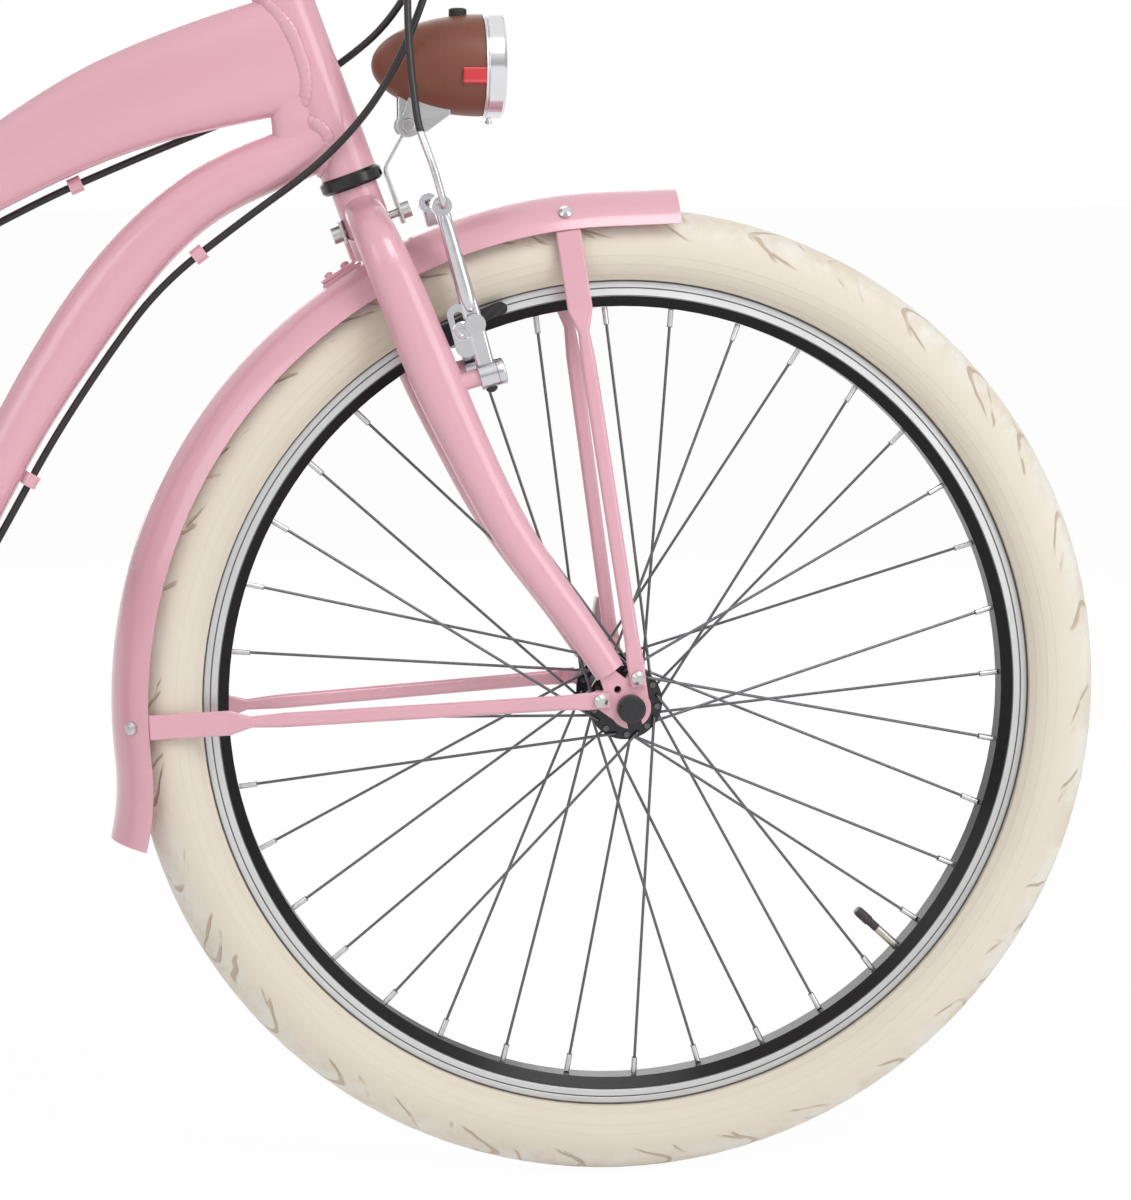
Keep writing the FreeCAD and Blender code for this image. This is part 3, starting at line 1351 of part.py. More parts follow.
def crown_brackets():
    """Crown bolt with the lamp bracket in front, the fender bracket behind, and the fender's screws."""
    half = S.bracket_strip / 2
    front_face = max(S.crown_radius, S.cup_radius) + half + S.fit_gap * 2
    rear_face = -S.crown_radius - half - S.fit_gap
    head = S.crown_bolt_radius * 2
    eye = steer(S.lamp_eye_up, S.lamp_eye_forward)
    low = steer(crown_bolt_up - S.bracket_width / 2, front_face)
    knee = steer(-head_low + S.cup_height / 2, front_face)
    lamp_strip = strip([low, knee, eye], S.bracket_width, S.bracket_strip, S.bracket_width / 2)
    ring = disc(eye, X_AXIS, S.lamp_eye_radius, S.bracket_width)
    eye_bore = disc(eye, X_AXIS, S.lamp_pin_radius + S.running_gap, S.bracket_width * 2)
    bolt_hole = rod(steer(crown_bolt_up, rear_face * 2), steer(crown_bolt_up, front_face * 2),
                    S.crown_bolt_radius + S.running_gap)
    lamp_strip = lamp_strip.fuse(ring).cut([eye_bore, bolt_hole])
    rear_top = steer(crown_bolt_up + S.bracket_width / 2, rear_face)
    foot_radius = fender_radius + half + S.fit_gap
    offset = S.fork_rake - rear_face
    corner_up = math.sqrt(foot_radius ** 2 - offset ** 2) - S.crown_height
    corner = steer(corner_up, rear_face)
    out = unit(V(0, corner.y - FRONT.y, corner.z - FRONT.z))
    foot_end = corner + out.cross(X_AXIS) * (S.bracket_width * FOOT_SHARE) - out * S.fit_gap
    rear_strip = strip([rear_top, corner, foot_end], S.bracket_width, S.bracket_strip, S.bracket_strip)
    rear_strip = rear_strip.cut([bolt_hole, fender_core(FRONT)])
    bolt = rod(steer(crown_bolt_up, rear_face - half), steer(crown_bolt_up, front_face + half),
               S.crown_bolt_radius)
    ends = [disc(steer(crown_bolt_up, rear_face - half - head / 2), STEER_FORWARD, head, head),
            disc(steer(crown_bolt_up, front_face + half + head / 2), STEER_FORWARD, head, head)]
    bolt = bolt.fuse(ends)
    solids = [bolt, lamp_strip, rear_strip] + front_heads
    return node("crown_brackets", feature("crown_bracket_set", Part.makeCompound(solids)))


FOOT_SHARE = 1.6


def fender_core(centre):
    """All that lies within the fender's outer line, for fitting feet to it."""
    radius = fender_radius + S.fit_gap
    return Part.makeCylinder(radius, S.bracket_width * 2, centre - X_AXIS * S.bracket_width, X_AXIS)


crown_brackets()


# Lamp

lamp_eye = steer(S.lamp_eye_up, S.lamp_eye_forward)
lamp_mouth = lamp_eye + V(0, S.lamp_tail - S.lamp_length, S.lamp_rise)
LAMP_WAY = -Y_AXIS


def lamp_shell():
    """A bullet shell with two ears and the pin that the lamp tilts on, and a hole for the switch."""
    hull = doc.addObject("Part::Ellipsoid", "lamp_outside")
    core = doc.addObject("Part::Ellipsoid", "lamp_inside")
    for shape, inset in ((hull, dim(0)), (core, D.lamp_wall)):
        bind(shape, Radius1=D.lamp_length - inset, Radius2=D.lamp_radius - inset,
             Radius3=D.lamp_radius - inset)
        shape.Angle1 = 0
        shape.Angle2 = FULL_TURN / 4
        shape.Placement = aim(lamp_mouth, -LAMP_WAY)
    ears = []
    for name, side in (("right", -1), ("left", 1)):
        inner = S.bracket_width / 2 + S.fit_gap
        base = lamp_eye + X_AXIS * (side * inner)
        ears.append(cylinder("lamp_ear_" + name, D.lamp_eye_radius, D.lamp_ear, base, X_AXIS * side))
        post = doc.addObject("Part::Box", "lamp_post_" + name)
        bind(post, Length=D.lamp_ear, Width=D.lamp_eye_radius * 2, Height=D.lamp_rise - D.lamp_radius / 2)
        corner = base if side > 0 else base - X_AXIS * S.lamp_ear
        post.Placement = FreeCAD.Placement(corner - Y_AXIS * S.lamp_eye_radius, FreeCAD.Rotation())
        ears.append(post)
    half = D.bracket_width / 2 + D.fit_gap + D.lamp_ear
    pin_base = lamp_eye - X_AXIS * (S.bracket_width / 2 + S.fit_gap + S.lamp_ear)
    ears.append(cylinder("lamp_pin", D.lamp_pin_radius, half * 2, pin_base, X_AXIS))
    drill = cylinder("lamp_switch_hole", D.switch_radius + D.running_gap, D.lamp_radius * 2, switch_foot,
                     Z_AXIS)
    body = fuse("lamp_outside_with_ears", hull, *ears)
    return node("lamp_shell", cut("lamp_shell_body", body, core, drill))


SWITCH_PLACE_SHARE = 0.22
switch_foot = lamp_mouth - LAMP_WAY * (S.lamp_length * SWITCH_PLACE_SHARE)


LENS_RIM_SHARE = 0.5


def lamp_front():
    """A bright ring round the mouth, and the domed lens behind it."""
    length = D.bezel_length
    lip = D.lens_radius - D.edge_break
    ring = [(0, D.lens_radius), (0, D.bezel_radius - D.edge_break), (D.edge_break, D.bezel_radius),
            (length - D.edge_break, D.bezel_radius), (length, D.bezel_radius - D.edge_break), (length, lip),
            (length - D.edge_break, lip), (length - D.edge_break, D.lens_radius)]
    node("lamp_bezel", turned("lamp_bezel_ring", ring, lamp_mouth + LAMP_WAY * S.fit_gap, LAMP_WAY))
    front = length - D.edge_break - D.fit_gap
    edge = D.lens_radius - D.running_gap
    glass = [(front - D.edge_break, 0), (front - D.edge_break, edge), (front, edge), (front, lip),
             (front + D.edge_break, lip * LENS_RIM_SHARE), (front + D.edge_break, 0)]
    node("lamp_lens", turned("lamp_lens_glass", glass, lamp_mouth + LAMP_WAY * S.fit_gap, LAMP_WAY))
    low = D.lamp_radius - D.switch_height
    high = D.lamp_radius + D.switch_height / 2
    button = [(low, 0), (low, D.switch_radius), (high - D.edge_break / 2, D.switch_radius),
              (high, D.switch_radius - D.edge_break), (high, 0)]
    node("lamp_switch", turned("lamp_switch_button", button, switch_foot, Z_AXIS))


lamp_shell()
lamp_front()


# Quick release of the front wheel, on the left

release_face = S.front_inner_half + S.dropout_thickness
release_pivot = FRONT + X_AXIS * (release_face + S.release_pivot)
RELEASE_SIDE_SHARES = (0.0, 0.10, 0.16, 0.08)
RELEASE_RUN_SHARES = (0.0, 0.35, 0.7, 1.0)
RELEASE_WIDTH_SHARES = (0.8, 1.0, 1.25, 0.95)


def quick_release_lever():
    """A curved blade on a round eye between the two cheeks of the skewer head."""
    eye = disc(release_pivot, Y_AXIS, S.release_eye_radius, S.release_eye)
    points = [release_pivot + V(S.release_length * out, 0, S.release_length * run)
              for out, run in zip(RELEASE_SIDE_SHARES, RELEASE_RUN_SHARES)]
    wires = []
    for index, point in enumerate(points):
        place = axes_at(point, Y_AXIS, along(points, index))
        width = S.release_eye * RELEASE_WIDTH_SHARES[index]
        wires.append(rounded_section(width, S.release_eye_radius, S.release_eye_radius / 3, place))
    blade = Part.makeLoft(wires, True, False)
    bore = disc(release_pivot, Y_AXIS, S.release_pin_radius + S.running_gap, S.release_eye * 2)
    return node("quick_release_lever", feature("release_blade", eye.fuse(blade).cut(bore)))


def release_head():
    """The skewer's head with its two cheeks and cross pin."""
    base = FRONT + X_AXIS * release_face
    cup = Part.makeCylinder(S.skewer_nut_radius, S.release_head, base, X_AXIS)
    clear = S.release_eye / 2 + S.fit_gap
    pin_half = clear + S.release_cheek
    pin = rod(release_pivot - Y_AXIS * pin_half, release_pivot + Y_AXIS * pin_half, S.release_pin_radius)
    cheeks = []
    for side in (1, -1):
        middle = release_pivot + Y_AXIS * (side * (clear + S.release_cheek / 2))
        cheek = disc(middle, Y_AXIS, S.release_eye_radius, S.release_cheek)
        depth = S.release_pivot
        web = Part.makeBox(depth, S.release_cheek, 2 * S.release_eye_radius)
        web.translate(middle - V(depth, S.release_cheek / 2, S.release_eye_radius))
        cheeks += [cheek, web]
    return cup.fuse(cheeks + [pin]).removeSplitter()


quick_release_lever()
front_axle()


# Stem, handlebar and controls

column_top = steer(steerer_top + S.stem_rise)
STEM_LIFT_SHARE = 0.15
bar_centre = column_top + V(0, -S.stem_reach, S.stem_reach * STEM_LIFT_SHARE)
BAR_SIDE_SHARES = (0.136, 0.38, 0.70, 1.0)
BAR_SWEEP_SHARES = (0.0, -0.18, 0.09, 1.0)
BAR_RISE_SHARES = (0.0, 0.88, 1.0, 0.86)


def bar_points(side):
    points = []
    for out, sweep, rise in zip(BAR_SIDE_SHARES, BAR_SWEEP_SHARES, BAR_RISE_SHARES):
        points.append(bar_centre + V(side * out * S.bar_half_width, sweep * S.bar_sweep, rise * S.bar_rise))
    return points


def stem():
    """A quill in the steerer, a bent neck and the clamp round the bar."""
    quill_base = steer(steerer_top - S.stem_rise)
    quill = cylinder("stem_quill", D.steerer_bore - D.running_gap, D.stem_rise * 2, quill_base, STEER_UP)
    column = cylinder("stem_column", D.stem_radius, D.stem_rise - D.fit_gap,
                      steer(steerer_top + S.fit_gap), STEER_UP)
    elbow = doc.addObject("Part::Sphere", "stem_elbow")
    bind(elbow, Radius=D.stem_radius)
    elbow.Placement.Base = column_top
    neck_way = bar_centre - column_top
    neck = doc.addObject("Part::Cylinder", "stem_neck")
    bind(neck, Radius=D.stem_radius)
    neck.Height = neck_way.Length
    neck.Placement = aim(column_top, neck_way)
    ring = cylinder("stem_clamp", D.clamp_radius, D.clamp_half * 2, bar_centre - X_AXIS * S.clamp_half,
                    X_AXIS)
    bore = cylinder("stem_bore", D.bar_radius + D.running_gap, (D.clamp_half + D.overrun) * 2,
                    bar_centre - X_AXIS * (S.clamp_half + S.overrun), X_AXIS)
    return node("stem", cut("stem_body", fuse("stem_solid", quill, column, elbow, neck, ring), bore))


def handlebar():
    points = list(reversed(bar_points(1))) + bar_points(-1)
    solid, _, _ = round_bar(points, S.bar_radius, S.bar_bend)
    return node("handlebar", feature("handlebar_tube", solid))


def bar_end(side):
    """The end of the bar, and the way along it towards the middle."""
    points = bar_points(side)
    return points[-1], unit(points[-2] - points[-1])


def grip(name, side, length):
    end, way = bar_end(side)
    bore = D.bar_radius + D.running_gap
    collar = D.grip_radius + D.grip_collar
    outline = [
        (-D.grip_cap, 0), (-D.grip_cap, D.grip_radius - D.edge_break),
        (-D.grip_cap + D.edge_break, D.grip_radius),
        (length - D.grip_cap * 2, D.grip_radius - D.edge_break / 2), (length - D.grip_cap, collar),
        (length, collar), (length, bore), (-D.running_gap, bore), (-D.running_gap, 0),
    ]
    return turned(name, outline, end, way)


def grips():
    """The left grip is whole; the right one is shorter, for the twist shifter beside it."""
    short = D.grip_length - D.shifter_length - D.fit_gap
    left = grip("left_grip", 1, D.grip_length)
    right = grip("right_grip", -1, short)
    node("grips", group("grip_pair", left, right))
    end, way = bar_end(-1)
    low = short + D.fit_gap
    high = D.grip_length
    bore = D.bar_radius + D.running_gap
    outline = [(low, bore), (low, D.grip_radius), (high - D.grip_cap * 2, D.grip_radius),
               (high - D.grip_cap, D.grip_radius + D.grip_collar), (high, D.grip_radius + D.grip_collar),
               (high, bore)]
    node("grip_shifter", turned("shifter_sleeve", outline, end, way))


def lever_frame(side):
    """The lever's pivot, the way along the grip outwards, the way out from the bar, and the pivot's axis."""
    end, inward = bar_end(side)
    base = end + inward * (S.grip_length + S.mount_gap + S.mount_ring_width / 2)
    outward = -inward
    out = unit(V(side, 0, 0) - outward * (V(side, 0, 0).dot(outward)))
    out = unit(V(out.x, out.y, 0) - outward * V(out.x, out.y, 0).dot(outward))
    return base, base + out * S.lever_offset, outward, out, outward.cross(out)


def lever_mount(side):
    """A clamp ring on the bar, an arm, two ears with the pivot pin, and the barrel that takes the cable."""
    base, pivot, outward, out, axis = lever_frame(side)
    ring = disc(base, outward, S.mount_ring_radius, S.mount_ring_width)
    reach = S.lever_eye / 2 + S.fit_gap
    ears = []
    for turn in (1, -1):
        middle = pivot + axis * (turn * (reach + S.lever_ear / 2))
        ears.append(disc(middle, axis, S.lever_eye_radius, S.lever_ear))
    back = pivot - outward * (S.lever_eye_radius * 2 + S.fit_gap)
    block_way = axes_at(back - axis * (reach + S.lever_ear), outward, axis)
    block = Part.makeBox(S.lever_eye_radius, 2 * S.lever_eye_radius, 2 * (reach + S.lever_ear))
    block.Placement = block_way.multiply(FreeCAD.Placement(V(0, -S.lever_eye_radius, 0), FreeCAD.Rotation()))
    for turn in (1, -1):
        web = Part.makeBox(S.lever_eye_radius * 2, 2 * S.lever_eye_radius, S.lever_ear)
        low = back + axis * (turn * (reach + S.lever_ear / 2)) - axis * (S.lever_ear / 2)
        spot = axes_at(low, outward, axis)
        web.Placement = spot.multiply(FreeCAD.Placement(V(0, -S.lever_eye_radius, 0), FreeCAD.Rotation()))
        ears.append(web)
    arm = rod(base, back, S.lever_eye_radius * MOUNT_ARM_SHARE)
    pin = rod(pivot - axis * (reach + S.lever_ear), pivot + axis * (reach + S.lever_ear), S.lever_pin_radius)
    barrel = rod(back, back - outward * S.barrel_length, S.barrel_radius)
    solid = ring.fuse(ears + [block, arm, pin, barrel])
    bore = disc(base, outward, S.bar_radius + S.running_gap, S.overrun * 10)
    return solid.cut(bore).removeSplitter()


MOUNT_ARM_SHARE = 0.72
LEVER_RUN_SHARES = (0.0, 0.10, 0.25, 0.62, 1.0)
LEVER_OUT_SHARES = (0.0, 0.22, 0.46, 0.42, 0.55)
LEVER_WIDTH_SHARES = (0.58, 0.60, 0.90, 1.0, 1.1)


def brake_lever(label, side):
    _, pivot, outward, out, axis = lever_frame(side)
    eye = disc(pivot, axis, S.lever_eye_radius - S.fit_gap, S.lever_eye)
    points = [pivot + outward * (run * S.lever_length) + out * (share * S.lever_offset)
              for run, share in zip(LEVER_RUN_SHARES, LEVER_OUT_SHARES)]
    wires = []
    for index, point in enumerate(points):
        place = axes_at(point, axis, along(points, index))
        width = S.lever_width * LEVER_WIDTH_SHARES[index]
        wires.append(rounded_section(width, S.lever_thickness, S.lever_thickness / 2, place))
    blade = Part.makeLoft(wires, True, False)
    bore = disc(pivot, axis, S.lever_pin_radius + S.running_gap, S.lever_eye * 2)
    return node(label, feature(label + "_blade", eye.fuse(blade).cut(bore)))


stem()
handlebar()
grips()
node("lever_mounts", feature("lever_mount_pair", Part.makeCompound([lever_mount(1), lever_mount(-1)])))
brake_lever("brake_lever_left", 1)
brake_lever("brake_lever_right", -1)


# Rear axle

def rear_axle():
    """The fixed axle with a cone on each side, two nuts, and the shift box on the right."""
    face = D.rear_inner_half + D.rear_plate
    reach = D.rear_inner_half + D.rear_plate + D.axle_nut_length
    half = S.rear_inner_half + S.rear_plate + S.axle_nut_length
    spindle = cylinder("rear_spindle", D.axle_radius, reach * 2, REAR - X_AXIS * half, X_AXIS)
    bore = D.axle_radius
    low = D.rear_inner_half - D.cone_length
    left_cone = [(low, bore), (low, D.cone_radius - D.edge_break), (D.rear_inner_half, D.cone_radius),
                 (D.rear_inner_half, bore)]
    low = driver_end + D.fit_gap
    right_cone = [(low, bore), (low, D.cone_radius), (D.rear_inner_half, D.cone_radius),
                  (D.rear_inner_half, bore)]
    nut = [(face, bore), (face, D.axle_nut_radius), (reach - D.edge_break, D.axle_nut_radius),
           (reach, D.axle_nut_radius - D.edge_break), (reach, bore)]
    end = reach + D.shift_box_length
    box = [(reach, 0), (reach, D.shift_box_radius), (end - D.edge_break * 2, D.shift_box_radius),
           (end, D.shift_box_radius - D.edge_break * 2), (end, 0)]
    pieces = [turned("rear_cone_left", left_cone, REAR, X_AXIS),
              turned("rear_cone_right", right_cone, REAR, -X_AXIS),
              turned("rear_nut_left", nut, REAR, X_AXIS), turned("rear_nut_right", nut, REAR, -X_AXIS),
              turned("shift_box", box, REAR, -X_AXIS)]
    return node("rear_axle", group("rear_axle_set", spindle, *pieces))


DRIVER_GAP_SHARE = 1.5
driver_start = D.rear_flange_place + D.flange_thickness * DRIVER_GAP_SHARE + D.fit_gap
driver_end = D.chain_line + D.cone_length / 2
rear_axle()


# Drive

def toothed_face(centre, teeth, pitch_radius, first_angle):
    """Teeth round a centre: a seat for each roller, straight flanks and flat tips."""
    step = 2 * math.pi / teeth
    seat = S.roller_radius + S.roller_seat_gap
    tip_half = TIP_SHARE * step
    edges = []
    corners = []
    for index in range(int(teeth)):
        angle = first_angle + index * step
        out = V(0, math.cos(angle), math.sin(angle))
        side = V(0, -math.sin(angle), math.cos(angle))
        hub = centre + out * pitch_radius
        tips = []
        for turn in (step / 2 - tip_half, step / 2 + tip_half):
            way = V(0, math.cos(angle + turn), math.sin(angle + turn))
            tips.append(centre + way * (pitch_radius + S.tooth_height))
        corners.append((hub - side * seat, hub - out * seat, hub + side * seat, tips[0], tips[1]))
    for index, (start, low, end, first_tip, second_tip) in enumerate(corners):
        following = corners[(index + 1) % len(corners)][0]
        edges.append(Part.Arc(start, low, end).toShape())
        edges.append(Part.LineSegment(end, first_tip).toShape())
        edges.append(Part.LineSegment(first_tip, second_tip).toShape())
        edges.append(Part.LineSegment(second_tip, following).toShape())
    return Part.Face(Part.Wire(edges))


TIP_SHARE = 0.08
RING_SPOKES = 5
RING_INNER_SHARE = 0.82
chain_side = -X_AXIS * S.chain_line
to_ring = math.atan2(BRACKET.z - REAR.z, BRACKET.y - REAR.y)
ring_first = to_ring + ring_half_wrap
sprocket_first = to_ring + math.pi + sprocket_half_wrap


def toothed_plate(centre, teeth, pitch_radius, first_angle):
    face = toothed_face(centre + chain_side + X_AXIS * (S.tooth_thickness / 2), teeth, pitch_radius,
                        first_angle)
    return face.extrude(-X_AXIS * S.tooth_thickness)


def chainring():
    """A toothed ring on five webs, with a hub on the spindle."""
    middle = BRACKET + chain_side
    solid = toothed_plate(BRACKET, S.ring_teeth, ring_pitch_radius, ring_first)
    window = disc(middle, X_AXIS, ring_pitch_radius * RING_INNER_SHARE, S.tooth_thickness * 2)
    webs = []
    for index in range(RING_SPOKES):
        angle = 2 * math.pi * index / RING_SPOKES - math.pi / 2
        end = middle + V(0, math.cos(angle), math.sin(angle)) * (ring_pitch_radius * RING_INNER_SHARE
                                                                 + S.edge_break)
        webs.append(link_plate(middle, end, S.ring_web, S.ring_web / 2, S.tooth_thickness))
    hub = disc(middle, X_AXIS, S.ring_hub_radius, S.ring_hub_length)
    bore = disc(middle, X_AXIS, S.spindle_radius + S.running_gap, S.chain_line)
    solid = solid.cut(window).fuse(webs + [hub]).removeSplitter().cut(bore)
    return node("chainring", feature("chainring_plate", solid))


def rear_sprocket():
    """The toothed plate on its driver."""
    inner = driver_start.value
    drum = Part.makeCylinder(S.driver_radius, driver_end.value - inner, REAR - X_AXIS * inner, -X_AXIS)
    solid = toothed_plate(REAR, S.sprocket_teeth, sprocket_pitch_radius, sprocket_first).fuse(drum)
    bore = disc(REAR, X_AXIS, S.axle_radius + S.running_gap, S.chain_line * 4)
    return node("rear_sprocket", feature("sprocket_body", solid.removeSplitter().cut(bore)))


def crank_set():
    """Spindle, two arms half a turn apart, and the two pedal axles."""
    inner = S.crank_inner
    outer = inner + S.crank_thickness
    spindle = rod(BRACKET - X_AXIS * outer, BRACKET + X_AXIS * outer, S.spindle_radius)
    pieces = []
    for side in (-1, 1):
        middle = BRACKET + X_AXIS * (side * (inner + outer) / 2)
        end = middle + Z_AXIS * (side * S.crank_length)
        pieces.append(disc(middle, X_AXIS, S.crank_eye_radius, S.crank_thickness))
        pieces.append(disc(end, X_AXIS, S.crank_end_radius, S.crank_thickness))
        pieces.append(link_plate(middle, end, S.crank_end_radius, S.crank_end_radius * CRANK_WAIST_SHARE,
                                 S.crank_thickness))
        tip = X_AXIS * (side * (S.crank_thickness / 2 + S.pedal_gap + S.pedal_width - S.pedal_plate * 2))
        pieces.append(rod(end, end + tip, S.pedal_axle_radius))
    return node("crank_set", feature("crank_arms", spindle.fuse(pieces).removeSplitter()))


CRANK_WAIST_SHARE = 0.8


def pedal(label, side):
    """A barrel on the axle between two plates, closed outside, with a rubber block ahead and behind."""
    start = BRACKET + V(side * (S.crank_inner + S.crank_thickness + S.pedal_gap), 0, side * S.crank_length)
    way = X_AXIS * side
    barrel = Part.makeCylinder(S.pedal_barrel_radius, S.pedal_width, start, way)
    plates = []
    blocks = []
    for place in (S.pedal_plate / 2, S.pedal_width - S.pedal_plate / 2):
        spot = axes_at(start + way * (place - S.pedal_plate / 2), Y_AXIS, way)
        face = Part.Face(rounded_section(S.pedal_length, S.pedal_height, S.pedal_height / 3, spot))
        plates.append(face.extrude(way * S.pedal_plate))
    run = S.pedal_width - 2 * (S.pedal_plate + S.running_gap)
    for turn in (1, -1):
        middle = start + way * (S.pedal_plate + S.running_gap) + Y_AXIS * (turn * (S.pedal_length
                                                                                   - S.pedal_block) / 2)
        face = Part.Face(rounded_section(S.pedal_block, S.pedal_height, S.pedal_height / 4,
                                         axes_at(middle, Y_AXIS, way)))
        blocks.append(face.extrude(way * run))
    depth = S.pedal_width - S.pedal_plate
    bore = Part.makeCylinder(S.pedal_axle_radius + S.running_gap, depth, start, way)
    core = barrel.fuse(plates).removeSplitter().cut(bore)
    return node(label, feature(label + "_set", Part.makeCompound([core] + blocks)))


def chain_stops():
    """The pin centres of the whole chain, round the ring and back along the lower run."""
    stops = []
    turns = ((BRACKET, ring_pitch_radius, ring_first, S.ring_teeth, S.ring_wrap),
             (REAR, sprocket_pitch_radius, sprocket_first, S.sprocket_teeth, S.sprocket_wrap))
    arcs = []
    for centre, radius, first, teeth, wrap in turns:
        arc = []
        for index in range(int(wrap) + 1):
            angle = first - 2 * math.pi * index / teeth
            arc.append(centre + chain_side + V(0, math.cos(angle), math.sin(angle)) * radius)
        arcs.append(arc)
    for arc, other in (arcs, arcs[::-1]):
        stops += arc
        for index in range(1, int(S.chain_run)):
            stops.append(arc[-1] + (other[0] - arc[-1]) * (index / S.chain_run))
    return stops


def chain_link(outer):
    """One link lying along Y from the origin: plates with pins, or plates with rollers round the pins."""
    pitch = Y_AXIS * S.chain_pitch
    low = S.chain_inner_half
    if outer:
        low += S.chain_plate + S.chain_plate_gap
    parts = []
    for side in (1, -1):
        middle = X_AXIS * (side * (low + S.chain_plate / 2))
        parts.append(link_plate(middle, middle + pitch, S.chain_plate_radius, S.chain_plate_radius,
                                S.chain_plate))
        parts.append(disc(middle, X_AXIS, S.chain_plate_radius, S.chain_plate))
        parts.append(disc(middle + pitch, X_AXIS, S.chain_plate_radius, S.chain_plate))
    reach = 2 * (low + S.chain_plate)
    if outer:
        pins = [disc(spot, X_AXIS, S.chain_pin_radius, reach) for spot in (ORIGIN, pitch)]
        return pins[0].fuse(pins[1:] + parts).removeSplitter()
    rollers = [disc(spot, X_AXIS, S.roller_radius, reach - S.chain_plate) for spot in (ORIGIN, pitch)]
    holes = [disc(spot, X_AXIS, S.chain_pin_radius + S.running_gap, reach * 2) for spot in (ORIGIN, pitch)]
    return rollers[0].fuse(rollers[1:] + parts).removeSplitter().cut(holes)


def chain():
    stops = chain_stops()
    models = (chain_link(True), chain_link(False))
    links = []
    for index, (spot, following) in enumerate(zip(stops, stops[1:] + stops[:1])):
        link = models[index % 2].copy()
        link.Placement = aim(spot, following - spot, Y_AXIS)
        links.append(link)
    return node("chain", feature("chain_links", Part.makeCompound(links)))


def guard_outline(radius, tail_radius, low, depth, tail):
    """A round front that narrows to a straight tail, as a solid across the bicycle."""
    middle = BRACKET - X_AXIS * (low - depth / 2)
    end = middle - chain_stay_way * tail
    web = link_plate(middle, end, radius, tail_radius, depth)
    return disc(middle, X_AXIS, radius, depth).fuse(web).removeSplitter()


def chain_guard():
    """A pressed guard over the upper run: a plate with its edge turned in, held by two pegs."""
    outside = guard_outline(S.guard_radius, S.guard_tail_radius, S.guard_place, S.guard_flange, S.guard_tail)
    sheet_in = S.guard_sheet
    depth = S.guard_flange - sheet_in + S.overrun
    inside = guard_outline(S.guard_radius - sheet_in, S.guard_tail_radius - sheet_in,
                           S.guard_place - sheet_in,
                           depth, S.guard_tail + S.overrun)
    hole = disc(BRACKET - X_AXIS * S.guard_place, X_AXIS, S.guard_hole, S.guard_flange)
    span = S.guard_tail * 2
    low_box = Part.makeBox(span * 2, span, span)
    low_box.translate(V(-span, 0, -span))
    base = BRACKET - chain_stay_way * (S.guard_radius * GUARD_STEP_SHARE) + seat_side_way * S.guard_rise
    low_box.Placement = axes_at(base, X_AXIS, seat_side_way).multiply(low_box.Placement)
    wide = Part.makeBox(span * 2, span * 2, span)
    wide.translate(V(-span, -span, -span))
    wide.Placement = axes_at(BRACKET - seat_side_way * S.guard_drop, X_AXIS,
                             seat_side_way).multiply(wide.Placement)
    peg_up = BRACKET + SEAT_UP * (S.guard_radius + S.guard_peg_radius / 2)
    peg = rod(peg_up - X_AXIS * S.guard_place, peg_up, S.guard_peg_radius).cut(seat_core)
    foot = BRACKET - chain_stay_way * (S.guard_tail * GUARD_FOOT_SHARE) - X_AXIS * (S.guard_place
                                                                                    - sheet_in / 2)
    strap = Part.makeBox(sheet_in, S.bracket_width, S.guard_rise * 2)
    strap.translate(V(-sheet_in / 2, -S.bracket_width / 2, 0))
    strap.Placement = axes_at(foot, X_AXIS, seat_side_way).multiply(strap.Placement)
    stays = [solid for solid in chain_stay_nodes if solid.CenterOfMass.x < 0]
    body = outside.cut([inside, hole, low_box, wide]).fuse([peg, strap]).removeSplitter().cut(stays)
    return node("chain_guard", feature("chain_guard_sheet",
                                       max(body.Solids, key=lambda solid: solid.Volume)))


GUARD_STEP_SHARE = 0.87
GUARD_FOOT_SHARE = 0.86
seat_side_way = X_AXIS.cross(-chain_stay_way)
if seat_side_way.z < 0:
    seat_side_way = -seat_side_way
chain_stay_nodes = next(obj for obj in NODES if obj.Label == "chain_stays").Shape.Solids

chainring()
rear_sprocket()
crank_set()
pedal("right_pedal", -1)
pedal("left_pedal", 1)
chain()
chain_guard()


# Kickstand

def kickstand_leg():
    """A round leg with its hub, drawn in its lowered place."""
    hub = disc(stand_pivot, STAND_AXIS, S.stand_hub_radius, S.stand_hub_length)
    length = (stand_pivot.z - S.stand_foot_lift - S.stand_radius) / -STAND_DOWN.z
    foot = stand_pivot + STAND_DOWN * length
    leg = rod(stand_pivot, foot, S.stand_radius)
    toe = Part.makeSphere(S.stand_radius, foot)
    bore = disc(stand_pivot, STAND_AXIS, S.stand_pin_radius + S.running_gap, S.stand_hub_length * 2)
    return node("kickstand_leg", feature("stand_leg", hub.fuse([leg, toe]).removeSplitter().cut(bore)))


kickstand_leg()


# Seat clamp, post and saddle

seat_top = BRACKET + SEAT_UP * S.seat_tube_length
post_top = BRACKET + SEAT_UP * (S.seat_tube_length + S.post_exposed)
SEAT_REAR = V(0, SEAT_UP.z, -SEAT_UP.y)


